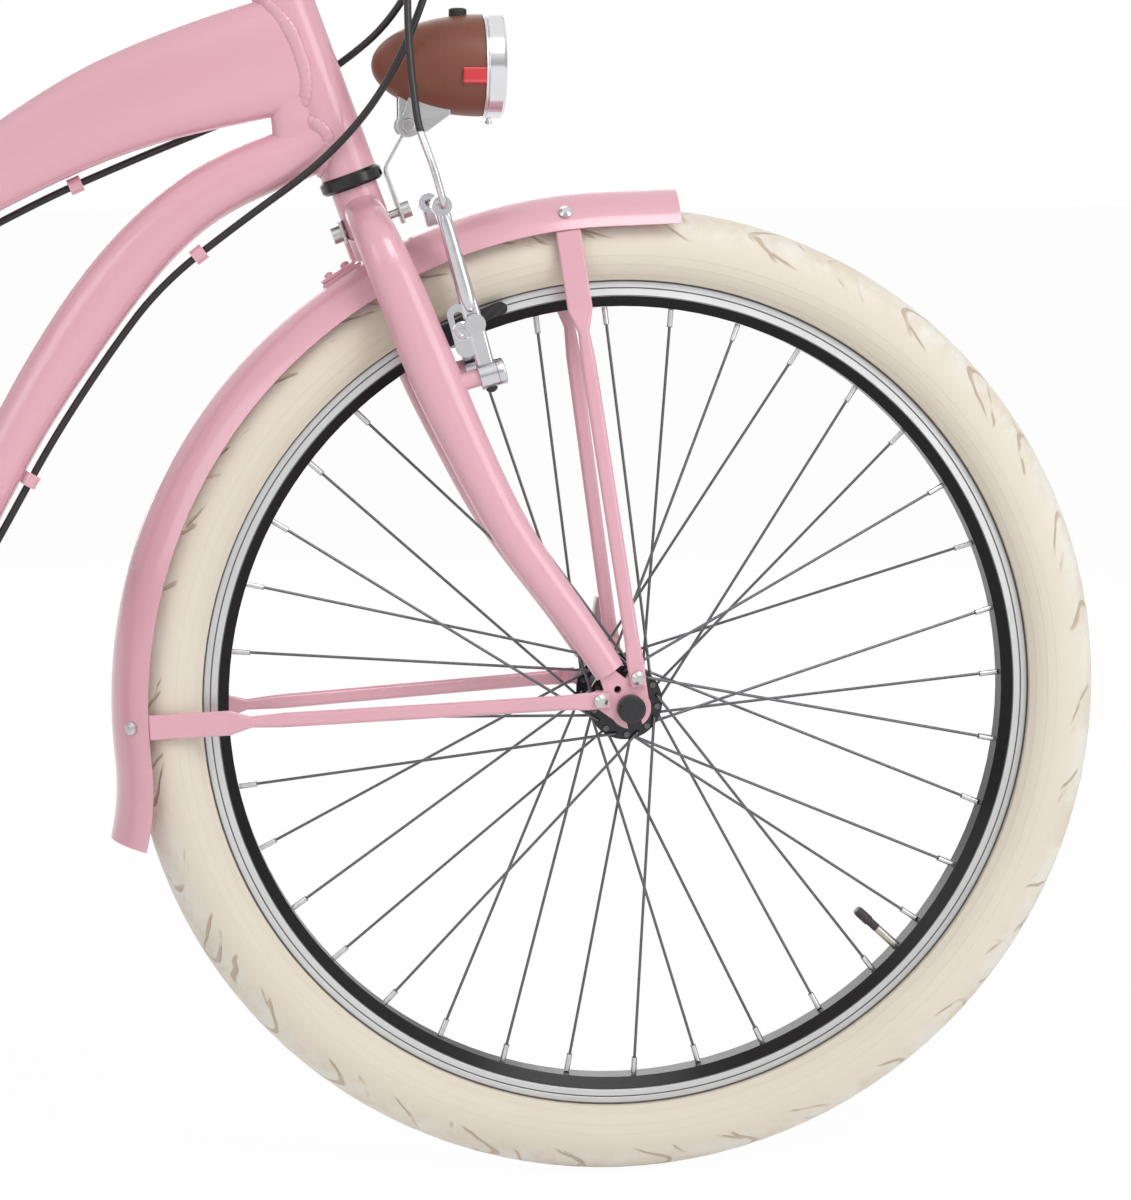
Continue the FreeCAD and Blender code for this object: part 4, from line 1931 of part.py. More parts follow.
def seat_clamp():
    """A split collar round the seat tube with two lugs behind it and a cross bolt."""
    base = seat_top - SEAT_UP * (S.seat_collar - S.edge_break)
    bore = S.seat_tube_radius + S.running_gap
    outside = S.seat_tube_radius + S.seat_collar_wall
    collar = Part.makeCylinder(outside, S.seat_collar - S.edge_break * 2, base, SEAT_UP)
    middle = base + SEAT_UP * ((S.seat_collar - S.edge_break * 2) / 2) + SEAT_REAR * (outside
                                                                                      + S.seat_bolt_radius)
    lug = disc(middle, X_AXIS, S.seat_bolt_radius * 2, outside)
    neck = link_plate(middle, middle - SEAT_REAR * outside, S.seat_bolt_radius * 2,
                      S.seat_bolt_radius * 2, outside)
    split = disc(middle, X_AXIS, outside, S.edge_break)
    hole = disc(middle, X_AXIS, S.seat_bolt_radius + S.running_gap, outside * 2)
    tube = Part.makeCylinder(bore, S.seat_collar * 2, base - SEAT_UP * S.overrun, SEAT_UP)
    ring = collar.fuse([lug, neck]).cut([tube, split, hole])
    shank = disc(middle, X_AXIS, S.seat_bolt_radius, outside + S.edge_break)
    heads = []
    for side in (1, -1):
        spot = middle + X_AXIS * (side * (outside / 2 + S.running_gap + S.seat_bolt_radius / 2))
        heads.append(disc(spot, X_AXIS, S.seat_bolt_radius * 2, S.seat_bolt_radius))
    bolt = shank.fuse(heads)
    return node("seat_clamp", feature("seat_clamp_set", Part.makeCompound([ring, bolt])))


# The saddle's frame: places along its length as shares from the nose, and rises above the post's top.
RAIL_RUN_SHARES = (0.17, 0.32, 0.66, 0.80)
RAIL_SIDE_SHARES = (0.5, 1.0, 1.0, 2.5)
RAIL_RISE_SHARES = (1.0, 0.0, 0.0, 0.0)
NOSE_SHARE = 0.50
nose = post_top + V(0, -S.saddle_length * NOSE_SHARE, S.post_head_radius)
base_up = post_top.z + S.saddle_lift
spring_spot = nose + V(0, S.saddle_length * RAIL_RUN_SHARES[-1], 0)


def seatpost():
    """The post with its cross head, and two rails through it that carry the saddle and springs."""
    low = post_top - SEAT_UP * (S.post_exposed + S.post_sunk)
    pillar = rod(low, post_top, S.post_radius)
    head_spot = post_top + Z_AXIS * S.post_head_radius
    head = disc(head_spot, X_AXIS, S.post_head_radius, S.post_head_half * 2)
    body = pillar.fuse(head)
    rails = []
    bores = []
    for side in (1, -1):
        points = []
        for run, spread, rise in zip(RAIL_RUN_SHARES, RAIL_SIDE_SHARES, RAIL_RISE_SHARES):
            lift = rise * (base_up - nose.z - S.rail_radius - S.running_gap)
            points.append(nose + V(side * spread * S.rail_place, run * S.saddle_length, lift))
        bar, _, _ = round_bar(points, S.rail_radius)
        seat = spring_spot + V(side * S.spring_place, 0, 0)
        rails.append(bar.fuse(disc(seat, Z_AXIS, S.spring_radius + S.spring_wire, spring_seat)))
        bores.append(disc(head_spot + X_AXIS * (side * S.rail_place), Y_AXIS, S.rail_radius + S.running_gap,
                          S.post_head_radius * 4))
    return node("seatpost", feature("seatpost_set", Part.makeCompound([body.cut(bores)] + rails)))


SPRING_SEAT_SHARE = 1.2
spring_seat = S.rail_radius * SPRING_SEAT_SHARE
SPRING_TURNS = 4
SPRING_STEPS = 8


def corner_arc(before, corner, after):
    """The arc that leaves one point towards a corner and reaches the other from it."""
    back = unit(before - corner)
    ahead = unit(after - corner)
    half_turn = (math.pi - back.getAngle(ahead)) / 2
    bend = (before - corner).Length / math.tan(half_turn)
    centre_way = unit(back + ahead)
    centre = corner + centre_way * (bend / math.cos(half_turn))
    return Part.Arc(before, centre - centre_way * bend, after).toShape()


def coil(base, height, radius, wire, hand):
    """One unbroken helix: between its stations run two arcs that share their tangent."""
    stations = SPRING_TURNS * SPRING_STEPS
    rise = height / (2 * math.pi * SPRING_TURNS)
    spots = []
    for index in range(stations + 1):
        turn = 2 * math.pi * SPRING_TURNS * index / stations
        spot = base + V(radius * math.cos(turn), hand * radius * math.sin(turn), rise * turn)
        way = unit(V(-radius * math.sin(turn), hand * radius * math.cos(turn), rise))
        spots.append((spot, way))
    edges = []
    for (first, first_way), (second, second_way) in zip(spots, spots[1:]):
        chord = second - first
        ways = first_way + second_way
        bow = 2 * (1 - first_way.dot(second_way))
        lean_in = chord.dot(ways)
        reach = (math.sqrt(lean_in ** 2 + bow * chord.dot(chord)) - lean_in) / bow
        corners = (first + first_way * reach, second - second_way * reach)
        joint = (corners[0] + corners[1]) / 2
        edges.append(corner_arc(first, corners[0], joint))
        edges.append(corner_arc(joint, corners[1], second))
    path = Part.Wire(edges)
    circle = Part.Wire(Part.Circle(spots[0][0], spots[0][1], wire).toShape())
    solid = swept(path, circle)
    if abs(solid.Volume / (math.pi * wire ** 2 * path.Length) - 1) > VOLUME_SHARE:
        raise ValueError("a spring lost its section")
    points = path.discretize(Number=stations * SPRING_STEPS)
    apart = len(points) // (SPRING_TURNS * 2)
    gaps = [points[i].distanceToPoint(points[j]) for i in range(len(points)) for j in range(i + apart,
                                                                                            len(points))]
    print("spring gap", round(min(gaps) - 2 * wire, 2))
    return solid


def saddle_springs():
    low = spring_spot + Z_AXIS * (spring_seat / 2 + S.spring_wire + S.fit_gap)
    height = base_up - low.z - S.spring_wire - S.running_gap * 2
    coils = [coil(low + X_AXIS * (side * S.spring_place), height, S.spring_radius, S.spring_wire, side)
             for side in (1, -1)]
    return node("saddle_springs", feature("spring_pair", Part.makeCompound(coils)))


# Stations of the saddle from nose to tail: shares of its length, half width, height and foot.
SADDLE_RUN_SHARES = (0.0, 0.07, 0.22, 0.42, 0.60, 0.76, 0.91, 1.0)
SADDLE_SIDE_SHARES = (0.14, 0.24, 0.29, 0.42, 0.74, 0.97, 1.0, 0.80)
SADDLE_TOP_SHARES = (0.55, 0.72, 0.78, 0.76, 0.80, 0.92, 1.0, 0.80)
SADDLE_FOOT_SHARE = 0.82
SADDLE_SHOULDER_SHARE = 0.5


def saddle():
    """A crowned cushion whose sides draw in towards its flat foot."""
    wires = []
    for run, side, top in zip(SADDLE_RUN_SHARES, SADDLE_SIDE_SHARES, SADDLE_TOP_SHARES):
        half = side * S.saddle_width / 2
        high = top * S.saddle_height
        shoulder = high * SADDLE_SHOULDER_SHARE
        middle = V(0, nose.y + run * S.saddle_length, base_up)
        corners = [middle + V(-half * SADDLE_FOOT_SHARE, 0, 0), middle + V(half * SADDLE_FOOT_SHARE, 0, 0),
                   middle + V(half, 0, shoulder), middle + V(-half, 0, shoulder)]
        edges = [Part.LineSegment(corners[0], corners[1]).toShape(),
                 Part.LineSegment(corners[1], corners[2]).toShape(),
                 Part.Arc(corners[2], middle + V(0, 0, high), corners[3]).toShape(),
                 Part.LineSegment(corners[3], corners[0]).toShape()]
        wires.append(Part.Wire(edges))
    return node("saddle", feature("saddle_cushion", Part.makeLoft(wires, True, False)))


seat_clamp()
seatpost()
saddle_springs()
saddle()


# Cables: corners as shares of the tyre's radius, to the left, ahead of and above the front axle

FRONT_CABLE_SHARES = (
    (0.4491, -0.3533, 2.1317),
    (0.0898, -0.3353, 1.8563),
    (-0.0898, -0.4371, 1.4970),
    (-0.1437, -0.4401, 1.3174),
    (-0.2036, -0.4266, 1.1617),
)
REAR_CABLE_SHARES = (
    (-0.4491, -0.3353, 2.1317),
    (-0.0898, -0.2994, 1.7964),
    (0.0060, -0.4132, 1.4132),
    (0.0808, -0.5988, 1.2515),
    (0.0749, -0.8533, 1.1467),
    (0.0120, -0.9910, 1.0913),
    (0.0120, -1.1928, 1.0036),
    (0.0120, -1.6374, 0.7605),
    (0.0659, -1.9461, 0.5868),
    (0.0659, -2.1497, 0.5449),
)
SHIFT_CABLE_SHARES = (
    (-0.5689, -0.5090, 2.1138),
    (-0.2994, -0.2754, 1.9611),
    (-0.0778, -0.3533, 1.5569),
    (-0.0988, -0.4545, 1.2754),
    (-0.0838, -0.5859, 1.1066),
    (-0.0180, -0.7725, 0.9701),
    (-0.0120, -0.9272, 0.8503),
    (-0.0120, -1.0347, 0.7096),
    (-0.0120, -1.1467, 0.5419),
    (-0.0120, -1.2350, 0.3832),
    (-0.0120, -1.3362, 0.2075),
    (-0.0120, -1.4760, 0.0464),
    (-0.0180, -1.6317, -0.0838),
    (-0.0299, -1.8323, -0.2335),
    (-0.0778, -2.0000, -0.1856),
    (-0.1347, -2.2156, -0.1497),
    (-0.1707, -2.6347, -0.1108),
    (-0.2066, -2.9940, -0.0689),
    (-0.2695, -3.1377, -0.0150),
)


def cable_spots(shares):
    return [FRONT + V(side, -ahead, up) * S.tyre_radius for side, ahead, up in shares]


def barrel_end(side):
    """Where a lever's barrel ends, and the way the cable leaves it."""
    _, pivot, outward, _, _ = lever_frame(side)
    back = pivot - outward * (S.lever_eye_radius * 2 + S.fit_gap)
    return back - outward * (S.barrel_length + S.fit_gap), -outward


def arm_top(axle, boss_start, boss_way):
    """The middle of a brake arm's top barrel."""
    up_way = boss_way.cross(X_AXIS)
    if up_way.dot(boss_start - axle) < 0:
        up_way = -up_way
    pivot = boss_start + boss_way * (S.boss_reach - S.arm_hub_length / 2 - S.fit_gap)
    return pivot + up_way * S.arm_length, up_way


def brake_cable(label, lever_side, shares, axle, boss_start, boss_way, arm_side):
    """A sheathed cable from the lever to its bent end at one arm, and the bare wire across to the other."""
    start, way = barrel_end(lever_side)
    top, up_way = arm_top(axle, boss_start, boss_way)
    face = S.leg_spread + S.arm_thickness + S.fit_gap
    mouth = V(arm_side * face, top.y, top.z)
    bend = mouth + X_AXIS * (arm_side * S.noodle_reach * 2) + up_way * (S.noodle_reach * NOODLE_RISE_SHARE)
    points = [start, start + way * (S.barrel_length * 2)] + cable_spots(shares)
    points += [bend + up_way * (S.noodle_reach * 2), mouth + X_AXIS * (arm_side * S.noodle_reach * 2), mouth]
    sheath, length, radii = round_bar(points, S.cable_radius)
    print(label, "length", round(length), "least radius", round(min(radii), 1))
    far = V(-arm_side * (face + S.fit_gap), top.y, top.z)
    wire = rod(mouth - X_AXIS * (arm_side * S.fit_gap), far, S.wire_radius)
    stop = disc(far - X_AXIS * (arm_side * S.wire_hole), X_AXIS, S.wire_hole * WIRE_STOP_SHARE,
                S.wire_hole * 2)
    return node(label, feature(label + "_set", Part.makeCompound([sheath, wire.fuse(stop)])))


NOODLE_RISE_SHARE = 1.2
WIRE_STOP_SHARE = 1.4
front_start = steer(boss_up, boss_rake)
brake_cable("front_brake_cable", 1, FRONT_CABLE_SHARES, FRONT, front_start, FRONT_BOSS_WAY, -1)
rear_start = REAR + seat_stay_way * S.boss_radius_place
brake_cable("rear_brake_cable", -1, REAR_CABLE_SHARES, REAR, rear_start, REAR_BOSS_WAY, 1)


def shift_cable():
    """From below the twist shifter to the box at the rear axle."""
    end, inward = bar_end(-1)
    drop = S.grip_radius + S.grip_collar + S.cable_radius + S.fit_gap * 2
    start = end + inward * (S.grip_length + S.grip_cap) - Z_AXIS * drop
    box = REAR - X_AXIS * (S.rear_inner_half + S.rear_plate + S.axle_nut_length + S.shift_box_length / 2)
    mouth = box - Y_AXIS * (S.shift_box_radius + S.fit_gap)
    points = [start, start + inward * (S.barrel_length * 2)] + cable_spots(SHIFT_CABLE_SHARES) + [mouth]
    sheath, length, radii = round_bar(points, S.cable_radius)
    print("shift_cable length", round(length), "least radius", round(min(radii), 1))
    return node("shift_cable", feature("shift_sheath", sheath))


shift_cable()
CLIP_SPOTS = ((REAR_CABLE_SHARES, 5), (REAR_CABLE_SHARES, 7), (SHIFT_CABLE_SHARES, 5),
              (SHIFT_CABLE_SHARES, 8),
              (SHIFT_CABLE_SHARES, 10))


def cable_guides():
    """Clips on the frame tubes, each round its cable and fitted to the tube."""
    clips = []
    for shares, index in CLIP_SPOTS:
        spots = cable_spots(shares)
        middle = (spots[index] + spots[index + 1]) / 2
        way = unit(spots[index + 1] - spots[index])
        body = disc(middle, way, S.clip_radius, S.clip_length)
        bore = disc(middle, way, S.cable_radius + S.running_gap, S.clip_length * 2)
        clips.append(body.cut([bore, top_tube_solid, down_tube_solid]))
    return node("cable_guides", feature("cable_clip_set", Part.makeCompound(clips)))


cable_guides()


# Checks and files

doc.recompute()
for obj in doc.Objects:
    if "Invalid" in obj.State or "Error" in obj.State:
        raise ValueError("%s did not build: %s" % (obj.Label, obj.State))
for obj in NODES:
    if obj.Shape.isNull() or not obj.Shape.isValid():
        raise ValueError("%s has no sound shape" % obj.Label)
os.makedirs("parts", exist_ok=True)
for obj in NODES:
    obj.Shape.exportStep("parts/%s.step" % obj.Label)
print(len(NODES), "files written")
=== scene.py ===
import math

import bpy
import bmesh
import numpy as np
from mathutils import Matrix


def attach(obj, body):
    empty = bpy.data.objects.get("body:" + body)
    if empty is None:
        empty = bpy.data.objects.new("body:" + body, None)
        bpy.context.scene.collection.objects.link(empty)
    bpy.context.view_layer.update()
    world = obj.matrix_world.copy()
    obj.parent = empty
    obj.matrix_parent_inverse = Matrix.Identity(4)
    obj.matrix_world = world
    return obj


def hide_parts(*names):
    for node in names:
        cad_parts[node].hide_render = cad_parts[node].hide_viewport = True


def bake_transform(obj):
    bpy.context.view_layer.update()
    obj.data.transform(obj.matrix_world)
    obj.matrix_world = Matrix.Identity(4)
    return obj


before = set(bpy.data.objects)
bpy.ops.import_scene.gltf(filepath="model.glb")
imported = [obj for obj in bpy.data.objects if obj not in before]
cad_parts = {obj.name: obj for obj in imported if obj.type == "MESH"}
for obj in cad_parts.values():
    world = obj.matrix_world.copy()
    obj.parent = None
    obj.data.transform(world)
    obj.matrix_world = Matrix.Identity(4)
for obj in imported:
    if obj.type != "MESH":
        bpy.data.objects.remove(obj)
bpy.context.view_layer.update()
scene = bpy.context.scene

# Places on the bicycle, in metres
FRONT = np.array((0.0, -0.549761, 0.334))
REAR = np.array((0.0, 0.535055, 0.334))
RING = np.array((0.0, -0.368021, 0.687138))
STEER_UP = np.array((0.0, 0.34202, 0.93969))
SIDE = np.array((1.0, 0.0, 0.0))
LAMP_MOUTH = np.array((0.0, -0.456474, 0.763117))
LAMP_EYE = np.array((0.0, -0.405474, 0.723117))
LAMP_LENGTH = 0.0745
LAMP_RADIUS = 0.0345
HEAD_TUBE_RADIUS = 0.019
BRAKE_PIVOT_OUT = 0.0495
REAR_WIRE = (0.218147, 0.52213)

# Distances from a wheel's axle, in metres
TYRE_MIDDLE = 0.307
TRACK_EDGE = 0.2750
BLOCK_EDGE = 0.2700
NIPPLE_EDGE = 0.2555
STEM_EDGE = 0.2676
CAP_EDGE = 0.2492


def tint(red, green, blue):
    """A colour given as it looks on a screen, 0 to 255, as linear light."""
    share = np.array((red, green, blue)) / 255.0
    light = np.where(share <= 0.04045, share / 12.92, ((share + 0.055) / 1.055) ** 2.4)
    return (float(light[0]), float(light[1]), float(light[2]), 1.0)


# Shader maths

class Value:
    """A number that changes over a surface. Its operators add Math nodes to the finish it belongs to."""

    def __init__(self, finish, socket):
        self.finish = finish
        self.socket = socket

    def with_(self, operation, *others):
        values = dict(enumerate((self,) + others))
        return self.finish.value("ShaderNodeMath", {"operation": operation}, values)

    def __add__(self, other):
        return self.with_("ADD", other)

    def __sub__(self, other):
        return self.with_("SUBTRACT", other)

    def __rsub__(self, other):
        return self.finish.value("ShaderNodeMath", {"operation": "SUBTRACT"}, {0: other, 1: self})

    def __mul__(self, other):
        return self.with_("MULTIPLY", other)

    def __truediv__(self, other):
        return self.with_("DIVIDE", other)

    def __abs__(self):
        return self.with_("ABSOLUTE")

    def sine(self):
        return self.with_("SINE")

    def root(self):
        return self.with_("SQRT")

    def part(self):
        return self.with_("FRACT")

    def most(self, other):
        return self.with_("MAXIMUM", other)

    def angle(self, other):
        return self.with_("ARCTAN2", other)

    def ramp(self, low, high):
        """0 below low, 1 above high and a smooth step between."""
        return self.finish.value("ShaderNodeMapRange", {"interpolation_type": "SMOOTHSTEP"},
                                 {"Value": self, "From Min": low, "From Max": high})

    def line(self, centre, half, soft):
        """1 within half of the centre, falling smoothly to 0."""
        return 1 - abs(self - centre).ramp(half, half + soft)


class Nodes:
    """The empty node tree of a material or a world, and the one way in which nodes are added to it."""

    def __init__(self, owner):
        owner.use_nodes = True
        self.tree = owner.node_tree
        self.tree.nodes.clear()

    def feed(self, target, value):
        """Links a value into a socket, or sets the socket to a constant."""
        if isinstance(value, Value):
            value = value.socket
        if isinstance(value, bpy.types.NodeSocket):
            self.tree.links.new(value, target)
        else:
            target.default_value = value

    def node(self, kind, settings=None, values=None):
        """A node of a kind, with its settings and what its sockets hold."""
        made = self.tree.nodes.new(kind)
        for key, setting in (settings or {}).items():
            setattr(made, key, setting)
        for key, value in (values or {}).items():
            self.feed(made.inputs[key], value)
        return made

    def value(self, kind, settings, values, output=0):
        return Value(self, self.node(kind, settings, values).outputs[output])

    def ray(self, kind):
        """1 where a ray is of the kind named, such as Camera."""
        return self.value("ShaderNodeLightPath", {}, {}, "Is %s Ray" % kind)

    def blend(self, factor, first, second):
        """One shader fading to another by a factor."""
        return self.node("ShaderNodeMixShader", {}, {0: factor, 1: first, 2: second}).outputs[0]


class Finish(Nodes):
    """One material: a Principled shader and the nodes that feed it."""

    def __init__(self, name, **sockets):
        self.material = bpy.data.materials.new(name)
        super().__init__(self.material)
        self.shader = self.node("ShaderNodeBsdfPrincipled")
        self.node("ShaderNodeOutputMaterial", {}, {0: self.shader.outputs[0]})
        self.place = self.node("ShaderNodeTexCoord").outputs["Object"]
        axes = self.node("ShaderNodeSeparateXYZ", {}, {0: self.place})
        self.x, self.y, self.z = (Value(self, socket) for socket in axes.outputs)
        self.set(**sockets)

    def set(self, **sockets):
        """Sets or links sockets of the shader, named with _ for a space."""
        for key, value in sockets.items():
            socket = key.replace("_", " ").title().replace("Ior", "IOR")
            self.feed(self.shader.inputs[socket], value)

    def noise(self, scale, detail=3.0, rough=0.5, stretch=(1.0, 1.0, 1.0)):
        place = self.node("ShaderNodeMapping", {}, {"Vector": self.place, "Scale": stretch}).outputs[0]
        return self.value("ShaderNodeTexNoise", {}, {"Vector": place, "Scale": scale, "Detail": detail,
                                                     "Roughness": rough})

    def mix(self, factor, first, second):
        values = {0: factor, 6: first, 7: second}
        return self.node("ShaderNodeMix", {"data_type": "RGBA"}, values).outputs[2]

    def bump(self, height, distance, strength=1.0):
        values = {"Height": height, "Distance": distance, "Strength": strength}
        self.set(normal=self.node("ShaderNodeBump", {}, values).outputs[0])

    def radius(self, centre):
        """The distance from a wheel's axle line."""
        across = self.y - float(centre[1])
        up = self.z - float(centre[2])
        return (across * across + up * up).root()

    def along(self, origin, way):
        """The distance along a direction from a point."""
        start = float(np.dot(origin, way))
        return self.x * float(way[0]) + self.y * float(way[1]) + self.z * float(way[2]) - start


PINK = tint(230, 178, 191)
PINK_DEEP = tint(224, 165, 178)


def pink_paint(name="pink_gloss_paint"):
    """Gloss paint: two close pinks by a slow noise, a fine orange peel, and a clear coat."""
    finish = Finish(name, coat_weight=0.8, coat_roughness=0.14, coat_ior=1.6, specular_ior_level=0.3)
    slow = finish.noise(5.0, 2.0)
    fleck = finish.noise(2600.0, 1.0)
    finish.set(base_color=finish.mix(slow * 0.75 + fleck * 0.25, PINK, PINK_DEEP))
    finish.set(roughness=finish.noise(60.0, 2.0) * 0.10 + 0.30)
    finish.bump(finish.noise(420.0, 2.0), 0.00012, 0.30)
    return finish


def crown_paint():
    """Pink below the bearing ring and bright steel above it, where the column comes out of the head tube."""
    finish = pink_paint("pink_crown_paint")
    steel = finish.along(RING, STEER_UP).ramp(0.0, 0.001)
    shade = finish.noise(300.0, 2.0, stretch=(1.0, 1.0, 0.05))
    grey = finish.mix(shade, tint(186, 186, 188), tint(212, 212, 214))
    paint = finish.mix(finish.noise(5.0), PINK, PINK_DEEP)
    finish.set(base_color=finish.mix(steel, paint, grey), metallic=steel)
    return finish


CURLS_ROUND = 34


def tyre_rubber(name, centre):
    """Cream rubber: fine ridges low on the wall, curling cuts over the tread, and a brown colour in the cuts.
    The curls are lines where the distance round the tyre, pushed sideways by a sine of the angle over the
    tread, comes to whole steps."""
    finish = Finish(name, specular_ior_level=0.3)
    radius = finish.radius(centre)
    heading = (finish.z - float(centre[2])).angle(finish.y - float(centre[1]))
    over = abs(finish.x).angle(radius - TYRE_MIDDLE)
    wander = finish.noise(26.0, 2.0) - 0.5
    step = heading * (CURLS_ROUND / (2 * math.pi))
    curl = (step + (over * 2.3).sine() * 0.55 + wander * 0.5).part()
    back = (step * 1.5 - over * 0.62 + wander * 0.9).part()
    tread = 1 - over.ramp(1.18, 1.32)
    shoulder = over.ramp(0.30, 0.50)
    cuts = curl.line(0.5, 0.018, 0.03) * finish.noise(31.0, 2.0).ramp(0.40, 0.52)
    sweeps = back.line(0.5, 0.022, 0.03) * shoulder * finish.noise(23.0, 2.0).ramp(0.46, 0.58)
    groove = cuts.most(sweeps) * tread
    ridges = radius.line(0.2975, 0.0004, 0.0005).most(radius.line(0.3035, 0.0003, 0.0005))
    ridges = ridges.most(radius.line(0.2905, 0.0003, 0.0005)) * over.ramp(1.3, 1.5)
    slow = finish.noise(7.0, 3.0)
    base = finish.mix(slow, tint(231, 223, 208), tint(225, 214, 195))
    scuff = (1 - over.ramp(0.75, 1.45)) * finish.noise(38.0, 4.0, 0.65).ramp(0.36, 0.62)
    base = finish.mix(scuff * 0.8, base, tint(239, 236, 228))
    # a brown colour mixed into the recessed cuts and sweeps of the tread
    base = finish.mix(groove * 0.58, base, tint(178, 146, 116))
    base = finish.mix(ridges * 0.05, base, tint(196, 178, 152))
    finish.set(base_color=base, roughness=finish.noise(240.0) * 0.14 + 0.56)
    finish.bump(finish.noise(900.0, 2.0) * 0.10 + ridges * 0.12 - groove, 0.0012, 0.8)
    return finish


def rim_metal(name, centre):
    """A turned brake track with one groove outside, a gloss black band inside, by distance from the axle."""
    finish = Finish(name, coat_roughness=0.12, specular_ior_level=0.14)
    radius = finish.radius(centre)
    track = radius.ramp(TRACK_EDGE, TRACK_EDGE + 0.0004) * abs(finish.x).ramp(0.0088, 0.0092)
    groove = radius.line(0.2806, 0.00035, 0.0003).most(radius.ramp(0.2846, 0.2852))
    groove = groove.most(radius.line(TRACK_EDGE + 0.0004, 0.0003, 0.0003)) * track
    rings = (radius * 9000.0).sine()
    turning = finish.noise(34.0, 3.0) * 0.3 + rings * 0.12 + 0.4
    metal = finish.mix(turning, tint(190, 190, 190), tint(226, 227, 229))
    metal = finish.mix(groove * 0.85, metal, tint(58, 54, 54))
    black = finish.mix(finish.noise(40.0), tint(24, 22, 23), tint(33, 30, 31))
    finish.set(base_color=finish.mix(track, black, metal), metallic=track * 0.75,
               roughness=finish.noise(120.0) * 0.08 + track * 0.10 + 0.22, coat_weight=(1 - track) * 0.05)
    finish.bump(rings * track * 0.2 - groove, 0.0004, 0.5)
    return finish


def spoke_metal(name, centre):
    """Dark drawn wire, with bright nipples where it enters the rim."""
    finish = Finish(name)
    nipple = finish.radius(centre).ramp(NIPPLE_EDGE, NIPPLE_EDGE + 0.0007)
    drawn = finish.noise(300.0, 3.0, stretch=(4.0, 1.0, 1.0))
    wire = finish.mix(drawn, tint(84, 84, 88), tint(122, 122, 126))
    bright = finish.mix(drawn, tint(196, 196, 198), tint(226, 226, 226))
    finish.set(base_color=finish.mix(nipple, wire, bright), metallic=0.85, roughness=drawn * 0.12 + 0.24)
    return finish


def valve_finish(name, centre):
    """Black rubber tube, a nickel valve stem through the rim and a dark cap on it."""
    finish = Finish(name)
    radius = finish.radius(centre)
    stem = 1 - radius.ramp(STEM_EDGE, STEM_EDGE + 0.0004)
    cap = 1 - radius.ramp(CAP_EDGE, CAP_EDGE + 0.0003)
    knurl = ((finish.z * 5200.0).sine() * (finish.y * 5200.0).sine()) * 0.5 + 0.5
    rubber = finish.mix(finish.noise(90.0), tint(38, 37, 37), tint(52, 51, 50))
    nickel = finish.mix(finish.noise(160.0), tint(176, 170, 160), tint(206, 202, 194))
    dark = finish.mix(knurl, tint(46, 38, 40), tint(70, 60, 62))
    finish.set(base_color=finish.mix(cap, finish.mix(stem, rubber, nickel), dark), metallic=stem * (1 - cap),
               roughness=finish.noise(200.0) * 0.1 + 0.6 - stem * 0.28)
    finish.bump(knurl * cap, 0.0003, 0.6)
    return finish


ZINC = (tint(190, 190, 190), tint(218, 218, 217))


def bright_metal(name, low, high, rough, grain, metallic=1.0):
    """Bare metal: two close greys by a drawn-out noise, with the same noise in its roughness."""
    finish = Finish(name, metallic=metallic)
    drawn = finish.noise(grain, 3.0, 0.6, (1.0, 0.12, 1.0))
    finish.set(base_color=finish.mix(drawn, low, high), roughness=drawn * 0.14 + rough)
    finish.bump(drawn, 0.00006, 0.3)
    return finish


def dark_coating(name, colour, lighter, rough, scale, depth):
    """A plain dark coating or rubber with a fine pebble."""
    finish = Finish(name)
    pebble = finish.noise(scale, 2.0)
    shade = finish.mix(finish.noise(30.0, 3.0), colour, lighter)
    finish.set(base_color=shade, roughness=pebble * 0.16 + rough)
    finish.bump(pebble, depth, 0.5)
    return finish


def lamp_paint():
    """Brown satin paint over a spun shell with a fine pebble, and a bare steel foot: what stands further from
    the lamp's axis than its oval outline, the mouth's radius times the root of 1 less the square of the
    run."""
    finish = Finish("lamp_brown_paint", coat_roughness=0.3, specular_ior_level=0.35)
    run = (finish.y - float(LAMP_MOUTH[1])) / LAMP_LENGTH
    up = finish.z - float(LAMP_MOUTH[2])
    wall = (1 - run * run).most(0.0).root() * LAMP_RADIUS + 0.0012
    foot = ((finish.x * finish.x + up * up).root() - wall).ramp(0.0, 0.0004) * (1 - up.ramp(-0.012, -0.010))
    rings = (finish.y * 1500.0).sine() * 0.5 + 0.5
    mottle = finish.noise(24.0, 4.0)
    brown = finish.mix(mottle * 0.9 + rings * 0.1, tint(118, 68, 52), tint(133, 80, 63))
    steel = finish.mix(finish.noise(90.0), tint(196, 197, 199), tint(222, 223, 224))
    finish.set(base_color=finish.mix(foot, brown, steel), metallic=foot,
               roughness=mottle * 0.12 + 0.42 - foot * 0.2, coat_weight=0.12 - foot * 0.12)
    finish.bump(finish.noise(700.0, 3.0) + rings * 0.06, 0.00016, 0.5)
    return finish


def brake_arm_metal(name, centre):
    """Polished alloy, with black rubber where the block stands at the rim."""
    finish = Finish(name)
    radius = finish.radius(centre)
    block = (1 - abs(finish.x).ramp(0.0243, 0.0246)) * radius.ramp(BLOCK_EDGE, BLOCK_EDGE + 0.0002)
    ribs = (finish.y * 900.0 + finish.z * 900.0).sine().ramp(0.2, 0.6)
    drawn = finish.noise(70.0, 3.0, 0.6)
    alloy = finish.mix(drawn, tint(196, 196, 200), tint(228, 228, 231))
    finish.set(base_color=finish.mix(block, alloy, finish.mix(ribs, tint(30, 29, 31), tint(46, 44, 46))),
               metallic=1 - block, roughness=drawn * 0.12 + 0.14 + block * 0.45)
    finish.bump(drawn * 0.3 + ribs * block, 0.0003, 0.4)
    return finish


